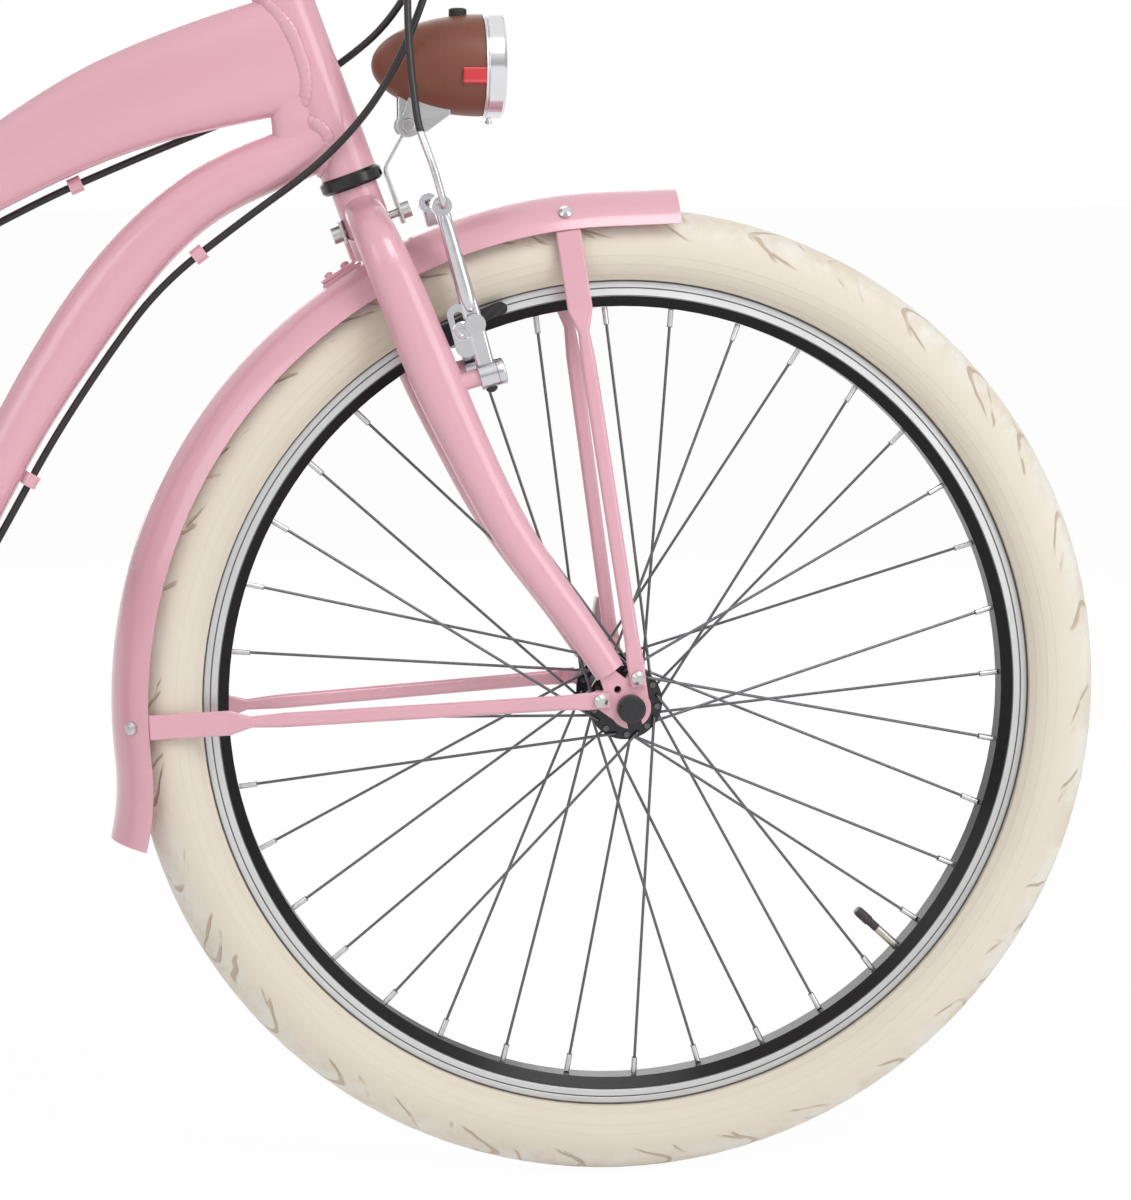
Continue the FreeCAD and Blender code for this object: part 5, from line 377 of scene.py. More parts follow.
def cable_sheath(name, silver_below=None):
    """Black plastic sheath; below a height, the bright bent pipe that leads into the brake arm."""
    finish = Finish(name)
    shade = finish.mix(finish.noise(60.0), tint(28, 26, 28), tint(42, 40, 42))
    rough = finish.noise(400.0) * 0.12 + 0.34
    if silver_below is None:
        finish.set(base_color=shade, roughness=rough)
    else:
        pipe = 1 - finish.z.ramp(silver_below, silver_below + 0.0006)
        bright = finish.mix(finish.noise(90.0), tint(196, 196, 198), tint(224, 224, 225))
        finish.set(base_color=finish.mix(pipe, shade, bright), metallic=pipe, roughness=rough - pipe * 0.16)
    finish.bump(finish.noise(1800.0), 0.00005, 0.4)
    return finish


def front_axle_metal():
    """Zinc plate, with the dark round nut outside the right fork end."""
    finish = bright_metal("front_axle_metal", *ZINC, 0.22, 120.0)
    nut = 1 - finish.x.ramp(-0.0562, -0.0560)
    zinc_shade = finish.mix(finish.noise(120.0), *ZINC)
    dark = finish.mix(finish.noise(60.0), tint(26, 24, 29), tint(44, 42, 50))
    finish.set(base_color=finish.mix(nut, zinc_shade, dark), metallic=1 - nut)
    return finish


def bracket_metal():
    """Zinc plate, painted pink where the rear strip lies along the fender behind the fork."""
    finish = bright_metal("bracket_metal", *ZINC, 0.22, 120.0)
    behind = finish.y.ramp(-0.3800, -0.3780) * (1 - finish.y.ramp(-0.30, -0.29))
    painted = behind * (1 - finish.z.ramp(0.6440, 0.6460)) * finish.z.ramp(0.50, 0.51)
    metal = finish.mix(finish.noise(120.0), *ZINC)
    paint = finish.mix(finish.noise(5.0, 2.0), PINK, PINK_DEEP)
    finish.set(base_color=finish.mix(painted, metal, paint), metallic=1 - painted)
    return finish


def screwed_paint(name, centre, spots):
    """Pink paint with bright screw heads: within a screw's radius of each place, seen along the axle."""
    finish = pink_paint(name)
    head = None
    for angle, reach in spots:
        across = finish.y - float(centre[1] + reach * math.cos(angle))
        up = finish.z - float(centre[2] + reach * math.sin(angle))
        near = 1 - (across * across + up * up).root().ramp(0.0046, 0.0048)
        head = near if head is None else head.most(near)
    paint = finish.mix(finish.noise(5.0, 2.0), PINK, PINK_DEEP)
    metal = finish.mix(finish.noise(120.0), *ZINC)
    finish.set(base_color=finish.mix(head, paint, metal), metallic=head)
    return finish


def lens_glass():
    """Clear moulded glass with upright flutes."""
    finish = Finish("lamp_lens_glass", roughness=0.05, ior=1.46, transmission_weight=0.85)
    flutes = (finish.x * 1250.0).sine() * 0.5 + 0.5
    finish.set(base_color=finish.mix(flutes, tint(240, 243, 245), tint(252, 253, 253)))
    finish.bump(flutes, 0.0006, 0.6)
    return finish


def reflector_plastic():
    """Red plastic with small three-sided cells."""
    finish = Finish("reflector_red", roughness=0.12, coat_weight=0.5, coat_roughness=0.05)
    cells = (finish.x * 1300.0).sine() * (finish.x * 650.0 + finish.z * 1126.0).sine()
    cells = cells * (finish.x * 650.0 - finish.z * 1126.0).sine()
    finish.set(base_color=finish.mix(cells * 0.5 + 0.5, tint(150, 8, 14), tint(214, 30, 34)))
    finish.bump(cells, 0.0008, 0.8)
    return finish


GRIP_RING_STEP = 0.0052


def grip_rubber(name, side):
    """Brown grip with raised rings along it and a pebble between them."""
    finish = Finish(name, specular_ior_level=0.35)
    way = np.array((side * 0.54852, 0.83193, -0.08377))
    run = finish.along(np.array((side * 0.330, -0.158043, 1.036876)), way)
    rings = (run * (2 * math.pi / GRIP_RING_STEP)).sine().ramp(-0.4, 0.5)
    pebble = finish.noise(900.0, 3.0)
    brown = finish.mix(rings, tint(92, 52, 36), tint(126, 76, 54))
    finish.set(base_color=brown, roughness=pebble * 0.2 + 0.52)
    finish.bump(rings + pebble * 0.15, 0.0009, 0.8)
    return finish


SADDLE_MIDDLE = 0.262
SEAM_HEIGHT = 0.8790
THREAD_HEIGHT = 0.8840


def saddle_leather():
    """Brown leather: two scales of grain, a stitched seam round the side, and a lighter, smoother colour
    towards the top by height.
    """
    finish = Finish("saddle_leather", specular_ior_level=0.4)
    cells = finish.value("ShaderNodeTexVoronoi", {"feature": "DISTANCE_TO_EDGE"},
                         {"Vector": finish.place, "Scale": 420.0})
    grain = cells.ramp(0.0, 0.18)
    slow = finish.noise(14.0, 4.0)
    seam = finish.z.line(SEAM_HEIGHT, 0.0007, 0.0009)
    heading = (finish.y - SADDLE_MIDDLE).angle(finish.x)
    thread = finish.z.line(THREAD_HEIGHT, 0.0005, 0.0004) * (heading * 88.0).sine().ramp(-0.3, 0.0)
    # by height alone: the colour grows lighter and the roughness lower towards the top of the saddle
    crown_share = finish.z.ramp(0.900, 0.914)
    base = finish.mix(slow, tint(106, 62, 44), tint(128, 78, 56))
    base = finish.mix(crown_share * 0.35, base, tint(150, 98, 72))
    base = finish.mix(seam * 0.7, base, tint(58, 34, 26))
    base = finish.mix(thread, base, tint(206, 178, 142))
    finish.set(base_color=base, roughness=slow * 0.14 + 0.42 - crown_share * 0.08)
    finish.bump(grain * 0.25 - seam + thread * 0.6, 0.0010, 0.7)
    return finish


def chain_steel():
    """Oiled steel: a darker and a brighter grey mixed by a noise."""
    finish = Finish("chain_steel", metallic=0.95)
    oil = finish.noise(180.0, 3.0)
    finish.set(base_color=finish.mix(oil, tint(92, 88, 84), tint(150, 147, 143)), roughness=oil * 0.2 + 0.28)
    return finish


def tag_cloth():
    """A plain woven red ribbon: two reds in a fine check of sines, with paler edges."""
    finish = Finish("tag_ribbon", roughness=0.7)
    weave = (finish.y * 9000.0).sine() * (finish.z * 9000.0).sine() * 0.5 + 0.5
    red = finish.mix(weave, tint(208, 50, 58), tint(230, 74, 80))
    hem = finish.z.line(0.7526, 0.0004, 0.0004).most(finish.z.line(0.7610, 0.0004, 0.0004))
    finish.set(base_color=finish.mix(hem * 0.4, red, tint(236, 130, 134)))
    finish.bump(weave, 0.0002, 0.5)
    return finish


# Surfaces

def put(name, points, faces, finish, smooth=True):
    """A mesh object at the origin from an array of places and rows of corner numbers."""
    mesh = bpy.data.meshes.new(name)
    mesh.from_pydata(np.asarray(points).reshape(-1, 3).tolist(), [], faces)
    mesh.update()
    if smooth:
        mesh.shade_smooth()
    mesh.materials.append(finish.material)
    made = bpy.data.objects.new(name, mesh)
    scene.collection.objects.link(made)
    return made


def grid_faces(rows, columns, close_rows=False, close_columns=True):
    """Four-cornered faces between neighbouring rows and columns of a grid, closed where asked."""
    row = np.arange(rows if close_rows else rows - 1)
    column = np.arange(columns if close_columns else columns - 1)
    row, column = np.meshgrid(row, column, indexing="ij")
    after = (row + 1) % rows
    beside = (column + 1) % columns
    corners = (row * columns + column, row * columns + beside,
               after * columns + beside, after * columns + column)
    return np.stack(corners, axis=-1).reshape(-1, 4).tolist()


def capped_faces(rows, columns):
    """The faces of rings one after another, with the first and the last ring closed."""
    faces = grid_faces(rows, columns)
    faces.append(list(range(columns))[::-1])
    faces.append(list(range((rows - 1) * columns, rows * columns)))
    return faces


def unit(rows):
    return rows / np.linalg.norm(rows, axis=-1, keepdims=True)


def tube(path, radii, sides=16, lean=SIDE):
    """Circles round a path: each place is the path's point plus radius times the cosine of the turn along one
    normal and the sine along the other, where the first normal is square to the path and to a fixed
    direction."""
    path = np.asarray(path, float)
    radii = np.broadcast_to(np.asarray(radii, float), len(path))
    ahead = unit(np.gradient(path, axis=0))
    first = unit(np.cross(ahead, lean))
    second = np.cross(ahead, first)
    turn = np.linspace(0, 2 * np.pi, sides, endpoint=False)
    ring = first[:, None] * np.cos(turn)[:, None] + second[:, None] * np.sin(turn)[:, None]
    points = path[:, None] + ring * radii[:, None, None]
    return points.reshape(-1, 3), capped_faces(len(path), sides)


def joined(parts):
    """Several (points, faces) pairs as one."""
    points = []
    faces = []
    count = 0
    for part_points, part_faces in parts:
        points.append(np.asarray(part_points).reshape(-1, 3))
        faces += [[corner + count for corner in face] for face in part_faces]
        count += len(points[-1])
    return np.concatenate(points), faces


def places(mesh):
    """The places of a mesh's corners, one row each."""
    spots = np.empty(len(mesh.vertices) * 3)
    mesh.vertices.foreach_get("co", spots)
    return spots.reshape(-1, 3)


def settle(made):
    """Applies a piece's modifiers to its mesh."""
    shown = made.evaluated_get(bpy.context.evaluated_depsgraph_get())
    mesh = bpy.data.meshes.new_from_object(shown)
    made.modifiers.clear()
    made.data = mesh


def smooth_route(corners, resolution=14):
    """Points read from the smooth spline that has the route's corners as its control points."""
    curve = bpy.data.curves.new("route", "CURVE")
    curve.dimensions = "3D"
    spline = curve.splines.new("NURBS")
    spline.points.add(len(corners) - 1)
    flat = np.concatenate([np.asarray(corners, float), np.ones((len(corners), 1))], axis=1)
    spline.points.foreach_set("co", flat.ravel())
    spline.order_u = 3
    spline.use_endpoint_u = True
    spline.resolution_u = resolution
    holder = bpy.data.objects.new("route", curve)
    scene.collection.objects.link(holder)
    mesh = bpy.data.meshes.new_from_object(holder)
    points = places(mesh)
    bpy.data.objects.remove(holder)
    bpy.data.meshes.remove(mesh)
    return points


def dress(finish, *names):
    """Gives CAD nodes their finish."""
    for name in names:
        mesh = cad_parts[name].data
        mesh.materials.clear()
        mesh.materials.append(finish.material)


# The camera stands at the photograph's place, with the long side of the picture on the sensor.
camera_data = bpy.data.cameras.new("photo_camera")
camera_data.lens = 106.84
camera_data.sensor_width = 36.0
camera = bpy.data.objects.new("photo_camera", camera_data)
camera.matrix_world = Matrix(((-0.12956, 0.13030, -0.98297, -2.4000),
                              (-0.99157, -0.017025, 0.12844, -0.19926),
                              (0.0, 0.99133, 0.13141, 0.7216),
                              (0.0, 0.0, 0.0, 1.0)))
scene.collection.objects.link(camera)
scene.camera = camera

# Cables, along the same corners as their solids
REAR_CABLE = (
    (-0.253265, -0.332559, 1.052688), (-0.215966, -0.389130, 1.058384), (-0.1500, -0.4378, 1.0460),
    (-0.0300, -0.4498, 0.9340), (0.0020, -0.4118, 0.8060), (0.0270, -0.3498, 0.7520),
    (0.0250, -0.2648, 0.7170), (0.0040, -0.2188, 0.6985), (0.0040, -0.1514, 0.6692),
    (0.0040, -0.0029, 0.5880), (0.0220, 0.1002, 0.5300), (0.0220, 0.1682, 0.5160),
    (0.0758, 0.19483, 0.53903), (0.0758, 0.218147, 0.52213), (0.0578, 0.218147, 0.52213),
)
SHIFT_CABLE = (
    (-0.259243, -0.265358, 1.025586), (-0.221945, -0.321927, 1.031284), (-0.1900, -0.3798, 1.0400),
    (-0.1000, -0.4578, 0.9890), (-0.0260, -0.4318, 0.8540), (-0.0330, -0.3980, 0.7600),
    (-0.0280, -0.3541, 0.7036), (-0.0060, -0.2917, 0.6580), (-0.0040, -0.2401, 0.6180),
    (-0.0040, -0.2042, 0.5710), (-0.0040, -0.1668, 0.5150), (-0.0040, -0.1373, 0.4620),
    (-0.0040, -0.1035, 0.4033), (-0.0040, -0.0568, 0.3495), (-0.0060, -0.0048, 0.3060),
    (-0.0100, 0.0622, 0.2560), (-0.0260, 0.1182, 0.2720), (-0.0450, 0.1902, 0.2840),
    (-0.0570, 0.3302, 0.2970), (-0.0690, 0.4502, 0.3110), (-0.0900, 0.4982, 0.3290),
    (-0.0900, 0.523755, 0.3340),
)
CABLE_RADIUS = 0.0025
sheath_black = cable_sheath("cable_sheath")
bright_steel = bright_metal("bright_steel", tint(188, 188, 190), tint(220, 220, 222), 0.18, 60.0)


def ferrule(path, length=0.014):
    """A short metal cap over a path's start: a tube a little wider than the sheath with a rounded lip."""
    run = np.cumsum(np.linalg.norm(np.diff(path, axis=0), axis=1))
    count = int(np.searchsorted(run, length)) + 2
    spots = path[:count]
    share = np.linspace(0, 1, len(spots))
    swell = 1.34 - 0.22 * share ** 6
    return tube(spots, CABLE_RADIUS * swell, 18)


def cable(label, corners):
    """A sheath along its smooth route, with a metal cap on the fork and one on the frame."""
    path = smooth_route(corners)
    sheath = put(label + "_sheath", *tube(path, CABLE_RADIUS, 14), sheath_black)
    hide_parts(label)
    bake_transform(sheath)
    top = put(label + "_top_cap", *ferrule(path), bright_steel)
    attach(top, "fork")
    low = put(label + "_low_cap", *ferrule(path[::-1]), bright_steel)
    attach(low, "frame")


cable("rear_brake_cable", REAR_CABLE)
cable("shift_cable", SHIFT_CABLE)


def brake_wire():
    """The bare wire between the two rear arms and its end stop, straight across the bicycle."""
    near, stop_end, far = (np.array((across,) + REAR_WIRE) for across in (0.0570, -0.0530, -0.0581))
    spots = np.linspace(near, far, 24)
    stop = np.linspace(far, stop_end, 8)
    parts = [tube(spots, 0.001, 10, STEER_UP), tube(stop, 0.0034, 16, STEER_UP)]
    made = put("rear_brake_wire", *joined(parts), bright_steel)
    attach(made, "frame")


brake_wire()

# Finishes of the solids
pink = pink_paint()
chrome = bright_metal("chrome_plate", tint(214, 214, 217), tint(236, 236, 238), 0.05, 40.0)
alloy = bright_metal("polished_alloy", tint(196, 196, 200), tint(222, 222, 226), 0.16, 70.0)
zinc = bright_metal("zinc_plate", *ZINC, 0.22, 120.0)
hub_black = dark_coating("hub_black", tint(24, 23, 27), tint(40, 38, 44), 0.16, 60.0, 0.00005)
black_paint = dark_coating("black_gloss", tint(20, 19, 21), tint(31, 30, 32), 0.15, 80.0, 0.00005)
black_rubber = dark_coating("black_rubber", tint(33, 32, 33), tint(47, 46, 46), 0.55, 800.0, 0.0002)

for wheel, centre in (("front", FRONT), ("rear", REAR)):
    dress(tyre_rubber(wheel + "_cream_rubber", centre), wheel + "_tyre")
    dress(rim_metal(wheel + "_rim_metal", centre), wheel + "_rim")
    dress(spoke_metal(wheel + "_spoke_wire", centre), wheel + "_spokes")
    dress(valve_finish(wheel + "_valve", centre), wheel + "_inner_tube")
    dress(hub_black, wheel + "_hub")
    dress(brake_arm_metal(wheel + "_brake_alloy", centre),
          wheel + "_brake_arm_right", wheel + "_brake_arm_left")

dress(pink, "head_tube", "fork_legs", "top_tube", "down_tube", "seat_tube", "bottom_bracket_shell",
      "chain_stays", "seat_stays", "front_fender", "rear_fender", "front_fender_stays", "cable_guides",
      "chain_guard")
REAR_SCREWS = [(math.radians(angle), reach)
               for angle, reach in ((75, 0.0215), (25, 0.0215), (72, 0.3338), (20, 0.3338))]
dress(screwed_paint("pink_stay_paint", REAR, REAR_SCREWS), "rear_fender_stays")
dress(crown_paint(), "fork_steerer")
dress(black_paint, "headset")
dress(bracket_metal(), "crown_brackets")
dress(zinc, "rear_axle")
dress(front_axle_metal(), "front_axle")
dress(lamp_paint(), "lamp_shell")
dress(chrome, "lamp_bezel", "handlebar", "stem", "seatpost", "seat_clamp", "saddle_springs")
dress(lens_glass(), "lamp_lens")
dress(black_rubber, "lamp_switch", "right_pedal", "left_pedal")
dress(alloy, "quick_release_lever", "lever_mounts", "brake_lever_left", "brake_lever_right", "crank_set",
      "chainring", "kickstand_leg")
dress(grip_rubber("grip_brown_left", 1), "grips")
dress(grip_rubber("grip_brown_right", -1), "grip_shifter")
dress(chain_steel(), "chain", "rear_sprocket")
dress(reflector_plastic(), "rear_reflector")
dress(cable_sheath("front_cable_sheath", 0.719), "front_brake_cable")


WELD_STEP = 0.0042
WELD_HALF_WIDTH = 0.0044
WELD_HEIGHT = 0.0019


def weld_bead(name, start, heading, rise, half_width, half_depth, power, axis_point, axis, radius, body):
    """A weld along the line where a tube meets a round one: the tube's outline, cosine and sine to a power,
    is carried along its heading until it meets the round tube's wall; a flat oval whose size ripples along
    the line goes round it."""
    turn = np.linspace(0, 2 * np.pi, 420, endpoint=False)
    across = np.sign(np.cos(turn)) * np.abs(np.cos(turn)) ** power * half_width
    up = np.sign(np.sin(turn)) * np.abs(np.sin(turn)) ** power * half_depth
    base = start + across[:, None] * SIDE + up[:, None] * rise
    level = base - axis_point
    level = level - (level @ axis)[:, None] * axis
    slope = heading - (heading @ axis) * axis
    double = 2 * level @ slope
    inside = np.maximum(double ** 2 - 4 * (slope @ slope) * ((level ** 2).sum(1) - radius ** 2), 0)
    reach = (-double + np.sqrt(inside)) / (2 * slope @ slope)
    line = base + reach[:, None] * heading
    ahead = unit(np.roll(line, -1, axis=0) - np.roll(line, 1, axis=0))
    level = line - axis_point
    outward = unit(level - (level @ axis)[:, None] * axis)
    outward = unit(outward - (outward * ahead).sum(1)[:, None] * ahead)
    beside = np.cross(ahead, outward)
    run = np.cumsum(np.linalg.norm(line - np.roll(line, 1, axis=0), axis=1))
    beads = 0.13 * np.abs(np.sin(np.pi * run / WELD_STEP))
    ripple = 1 + beads + 0.10 * np.sin(run / 0.0131) * np.sin(run / 0.0047)
    turn = np.linspace(0, 2 * np.pi, 12, endpoint=False)
    wide = (WELD_HALF_WIDTH * ripple)[:, None, None] * np.cos(turn)[None, :, None]
    high = (WELD_HEIGHT * ripple)[:, None, None] * np.sin(turn)[None, :, None]
    points = line[:, None] + wide * beside[:, None] + high * outward[:, None]
    made = put(name, points, grid_faces(len(line), 12, close_rows=True), pink)
    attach(made, body)


TOP_START = RING + STEER_UP * 0.092
DOWN_START = RING + STEER_UP * 0.034
weld_bead("top_tube_head_weld", TOP_START, np.array((0, 0.9676, -0.2525)), np.array((0, 0.2525, 0.9676)),
          0.0185, 0.0388, 0.62, RING, STEER_UP, HEAD_TUBE_RADIUS, "frame")
weld_bead("down_tube_head_weld", DOWN_START, np.array((0, 0.8956, -0.4449)), np.array((0, 0.4449, 0.8956)),
          0.0180, 0.0184, 0.92, RING, STEER_UP, HEAD_TUBE_RADIUS, "frame")


def turned(profile, base, way, sides=28):
    """A profile of (radius, height) pairs carried round an axis from a base point, closed at its two ends."""
    way = unit(np.asarray(way, float))
    first = unit(np.cross(way, SIDE if abs(way[0]) < 0.9 else STEER_UP))
    second = np.cross(way, first)
    turn = np.linspace(0, 2 * np.pi, sides, endpoint=False)
    ring = first * np.cos(turn)[:, None] + second * np.sin(turn)[:, None]
    rows = np.asarray(profile, float)
    points = base + rows[:, None, :1] * ring[None] + rows[:, None, 1:] * way
    return points.reshape(-1, 3), capped_faces(len(rows), sides)


def dome(base, way, radius, height):
    """A flattened half ball, sunk a little, as a rivet head."""
    lift = np.linspace(0, math.radians(80), 8)
    rows = [(radius, -0.0008)] + [(radius * math.cos(a), height * math.sin(a)) for a in lift]
    return turned(rows, base, way, 20)


def add(name, parts, finish, body, smooth=True, bevel=0.0):
    """One piece from (points, faces) pairs, on a body, with its edges rounded where asked."""
    made = put(name, *joined(parts), finish, smooth)
    if smooth:
        made.data.set_sharp_from_angle(angle=math.radians(38))
    if bevel:
        rounding = made.modifiers.new("edges", "BEVEL")
        rounding.width = bevel
        rounding.segments = 2
        rounding.limit_method = "ANGLE"
    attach(made, body)
    return made


def plate(outline, near, far):
    """A flat outline of (y, z) places as a slab between two distances across the bicycle."""
    outline = np.asarray(outline, float)
    count = len(outline)
    points = np.concatenate([np.column_stack((np.full(count, x), outline)) for x in (near, far)])
    return points, capped_faces(2, count)


def head_web():
    """The wall in the fork of top and down tube: an oval with squared sides, carried up the gap."""
    turn = np.linspace(0, 2 * np.pi, 40, endpoint=False)
    across = 0.0150 * np.sign(np.sin(turn)) * np.abs(np.sin(turn)) ** 0.6
    ahead = 0.0210 * np.sign(np.cos(turn)) * np.abs(np.cos(turn)) ** 0.8
    rise = np.linspace(0.708, 0.742, 14)
    lean = -0.3355 + 0.10 * (rise - 0.724)
    waist = 1 + ((rise - 0.724) / 0.030) ** 2 * 0.25
    points = np.stack(np.broadcast_arrays(across * waist[:, None], lean[:, None] + ahead * waist[:, None],
                                          rise[:, None]), axis=-1)
    add("head_web", [(points, capped_faces(len(rise), len(turn)))], pink, "frame")


head_web()

BRAKE_PIVOTS = {"front": ("fork", (-0.454617, 0.559141), (0, -0.96363, 0.26724)),
                "rear": ("frame", (0.312062, 0.454044), (0, -0.58696, -0.80961))}
BOLT_PROFILE = ((0.0070, 0.00635), (0.00895, 0.00640), (0.00895, 0.0106), (0.0087, 0.0112), (0.0080, 0.0116),
                (0.0046, 0.0116), (0.0042, 0.0113), (0.0041, 0.0105))


def brake_bolts():
    """The bolts that hold the brake arms: a rounded head with a socket, turned round each pivot's axis."""
    for wheel, (body, spot, way) in BRAKE_PIVOTS.items():
        heads = [turned(BOLT_PROFILE, np.array((side * BRAKE_PIVOT_OUT,) + spot), way) for side in (-1, 1)]
        add(wheel + "_brake_bolts", heads, alloy, body)


brake_bolts()


def stadium(length, radius, count=48):
    """A flat oval with straight sides: a circle whose two halves are drawn apart by a length."""
    turn = (np.arange(count) + 0.5) * (2 * np.pi / count)
    apart = np.sign(np.sin(turn)) * length / 2
    return np.column_stack((radius * np.cos(turn), radius * np.sin(turn) + apart))


def slotted_plate(centre, ahead, up, side, outer, inner, lift, depth):
    """A plate between two flat ovals, the inner one raised along it: the walls go round outside, over the
    face, down inside and back under, as four closed rows."""
    rows = []
    walls = ((outer, 0.0, 0.0), (outer, 0.0, depth), (inner, lift, depth), (inner, lift, 0.0))
    for oval, rise, level in walls:
        rows.append(centre + oval[:, :1] * ahead + (oval[:, 1:] + rise) * up + SIDE * (side * level))
    faces = grid_faces(4, len(outer), close_rows=True)
    return np.concatenate(rows), faces if side > 0 else [face[::-1] for face in faces]


def arm_ridge(base, up, ahead, side):
    """A rounded rib along a brake arm: an oval whose width and height follow a root towards the two ends."""
    run = np.sin(np.linspace(-np.pi / 2, np.pi / 2, 34))
    swell = np.maximum(1 - run ** 6, 0.0) ** 0.5 * (1 - 0.14 * run)
    turn = np.linspace(0, 2 * np.pi, 24, endpoint=False)
    across = np.cos(turn)[None, :, None] * (0.0044 * np.maximum(swell, 0.02))[:, None, None] * ahead
    out = np.sin(turn)[None, :, None] * (0.0027 * np.maximum(swell, 0.02))[:, None, None] * SIDE * side
    points = base + (run * 0.0345)[:, None, None] * up + across + out
    return points.reshape(-1, 3), capped_faces(len(run), len(turn))


NUT_PROFILE = ((0.0050, 0.0), (0.0054, 0.0005), (0.0054, 0.0030), (0.0046, 0.0038), (0.0026, 0.0038),
               (0.0022, 0.0030))
WASHER_PROFILE = ((0.0062, 0.0), (0.0066, 0.0003), (0.0066, 0.0010), (0.0060, 0.0014))
HOLDER_DEPTH = 0.003


def brake_details():
    """On each brake arm a slotted plate with washer and nut beside it, a rib along it, and a rubber foot."""
    for wheel, centre in (("front", FRONT), ("rear", REAR)):
        spot, way = BRAKE_PIVOTS[wheel][1:]
        way = np.array(way)
        up = np.cross(way, SIDE)
        up = up * np.sign(up @ (np.array((0.0,) + spot) - centre))
        for side, hand in ((-1, "right"), (1, "left")):
            pivot = np.array((side * BRAKE_PIVOT_OUT,) + spot)
            arm = "%s_arm_%s" % (wheel, hand)
            middle = pivot + up * 0.0330 - way * 0.0090 + SIDE * (side * 0.0005)
            outer, inner = stadium(0.0220, 0.0072), stadium(0.0110, 0.0031)
            holder = slotted_plate(middle, way, up, side, outer, inner, 0.0045, HOLDER_DEPTH)
            low = middle + SIDE * (side * HOLDER_DEPTH) - up * 0.0002
            washer = turned(WASHER_PROFILE, low, SIDE * side, 28)
            nut = turned(NUT_PROFILE, low + SIDE * (side * 0.0012), SIDE * side, 28)
            rib = arm_ridge(pivot + up * 0.0780 + SIDE * (side * 0.0040), up, way, side)
            add(arm + "_holder", [holder, washer, nut, rib], alloy, arm)
            foot = dome(pivot - up * 0.0086, -up, 0.0042, 0.0034)
            add(arm + "_foot", [foot], black_rubber, arm)


brake_details()


SEAT_OUTER = 0.3474
SEAT_INNER = 0.3440
RIVET_REACH = 0.3501


def fender_rivets():
    """A seat between the front fender's crown and its bracket behind the fork, two arcs about the axle joined
    into a slab, with two rivets on the bracket."""
    bend = np.radians(np.linspace(54.4, 59.4, 12))
    arcs = [np.column_stack((np.cos(turn), np.sin(turn))) * reach
            for turn, reach in ((bend, SEAT_OUTER), (bend[::-1], SEAT_INNER))]
    heads = [plate(FRONT[1:] + np.concatenate(arcs), -0.0076, 0.0076)]
    for angle in np.radians((55.7, 57.8)):
        way = np.array((0.0, math.cos(angle), math.sin(angle)))
        heads.append(dome(FRONT + way * RIVET_REACH, way, 0.0033, 0.0026))
    add("fender_rivets", heads, pink, "fork")


fender_rivets()


def lamp_bracket():
    """Two bright cheeks from the lamp's pivot to its underside, rounded about the pivot, and its two nuts."""
    bend = np.radians(np.linspace(-105, 60, 18))
    eye = np.column_stack((LAMP_EYE[1] + 0.0078 * np.cos(bend), LAMP_EYE[2] + 0.0078 * np.sin(bend)))
    under = [(-0.4060, 0.7425), (-0.4200, 0.7385), (-0.4335, 0.7350), (-0.4338, 0.7306), (-0.4186, 0.7195)]
    outline = np.concatenate((eye, under))
    cheeks = [plate(outline, near, near + 0.0015) for near in (0.0116, -0.0131)]
    add("lamp_bracket", cheeks, zinc, "lamp", smooth=False, bevel=0.0004)
    nut = ((0.0052, 0.0), (0.0055, 0.0006), (0.0055, 0.0030), (0.0046, 0.0038))
    nuts = [turned(nut, LAMP_EYE + SIDE * (side * 0.0130), SIDE * side, 6) for side in (1, -1)]
    add("lamp_pivot_nuts", nuts, bright_steel, "lamp", smooth=False, bevel=0.0003)


lamp_bracket()


def lamp_rim():
    """The rolled edge where the lamp's shell meets its chrome ring, a circle carried round the lamp's axis,
    and the ring's small screw below."""
    turn = np.linspace(0, 2 * np.pi, 96, endpoint=False)
    bend = np.linspace(0, 2 * np.pi, 14, endpoint=False)
    reach = 0.0348 + 0.0010 * np.cos(bend)[None, :]
    ahead = -0.0004 - 0.0010 * np.sin(bend)[None, :]
    across, above = reach * np.sin(turn)[:, None], reach * np.cos(turn)[:, None]
    points = np.stack(np.broadcast_arrays(across, ahead, above), axis=-1) + LAMP_MOUTH
    screw = ((0.0016, -0.001), (0.0016, 0.0016), (0.0025, 0.0017), (0.0025, 0.0034), (0.0019, 0.0040))
    parts = [(points, grid_faces(len(turn), len(bend), close_rows=True)),
             turned(screw, LAMP_MOUTH + np.array((0.0, -0.0040, -0.0350)), (0, 0, -1), 16)]
    add("lamp_rim", parts, chrome, "lamp")


lamp_rim()


RIBBON = 0.0007


def lamp_tag():
    """A ribbon tab on the lamp's side: the shell's own radius at each place, plus a ribbon's thickness."""
    spots = places(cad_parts["lamp_shell"].data)
    reach = np.hypot(spots[:, 0], spots[:, 2] - LAMP_MOUTH[2])
    run = np.linspace(-0.4565, -0.4405, 12)
    wall = np.array([reach[np.abs(spots[:, 1] - place) < 0.006].max() for place in run])
    wall = np.polyval(np.polyfit(run, wall, 2), run)
    turn = np.linspace(math.asin(0.0120 / 0.034), math.asin(0.0016 / 0.034), 10) + math.pi
    radius = wall + RIBBON
    across = np.cos(turn)[:, None] * radius
    up = np.sin(turn)[:, None] * radius + LAMP_MOUTH[2]
    points = np.stack((across, np.broadcast_to(run, across.shape), up), axis=-1)
    made = put("lamp_tag", points, grid_faces(len(turn), len(run), close_columns=False), tag_cloth())
    thicken = made.modifiers.new("thickness", "SOLIDIFY")
    thicken.thickness = RIBBON
    thicken.offset = 0.0
    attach(made, "lamp")


lamp_tag()


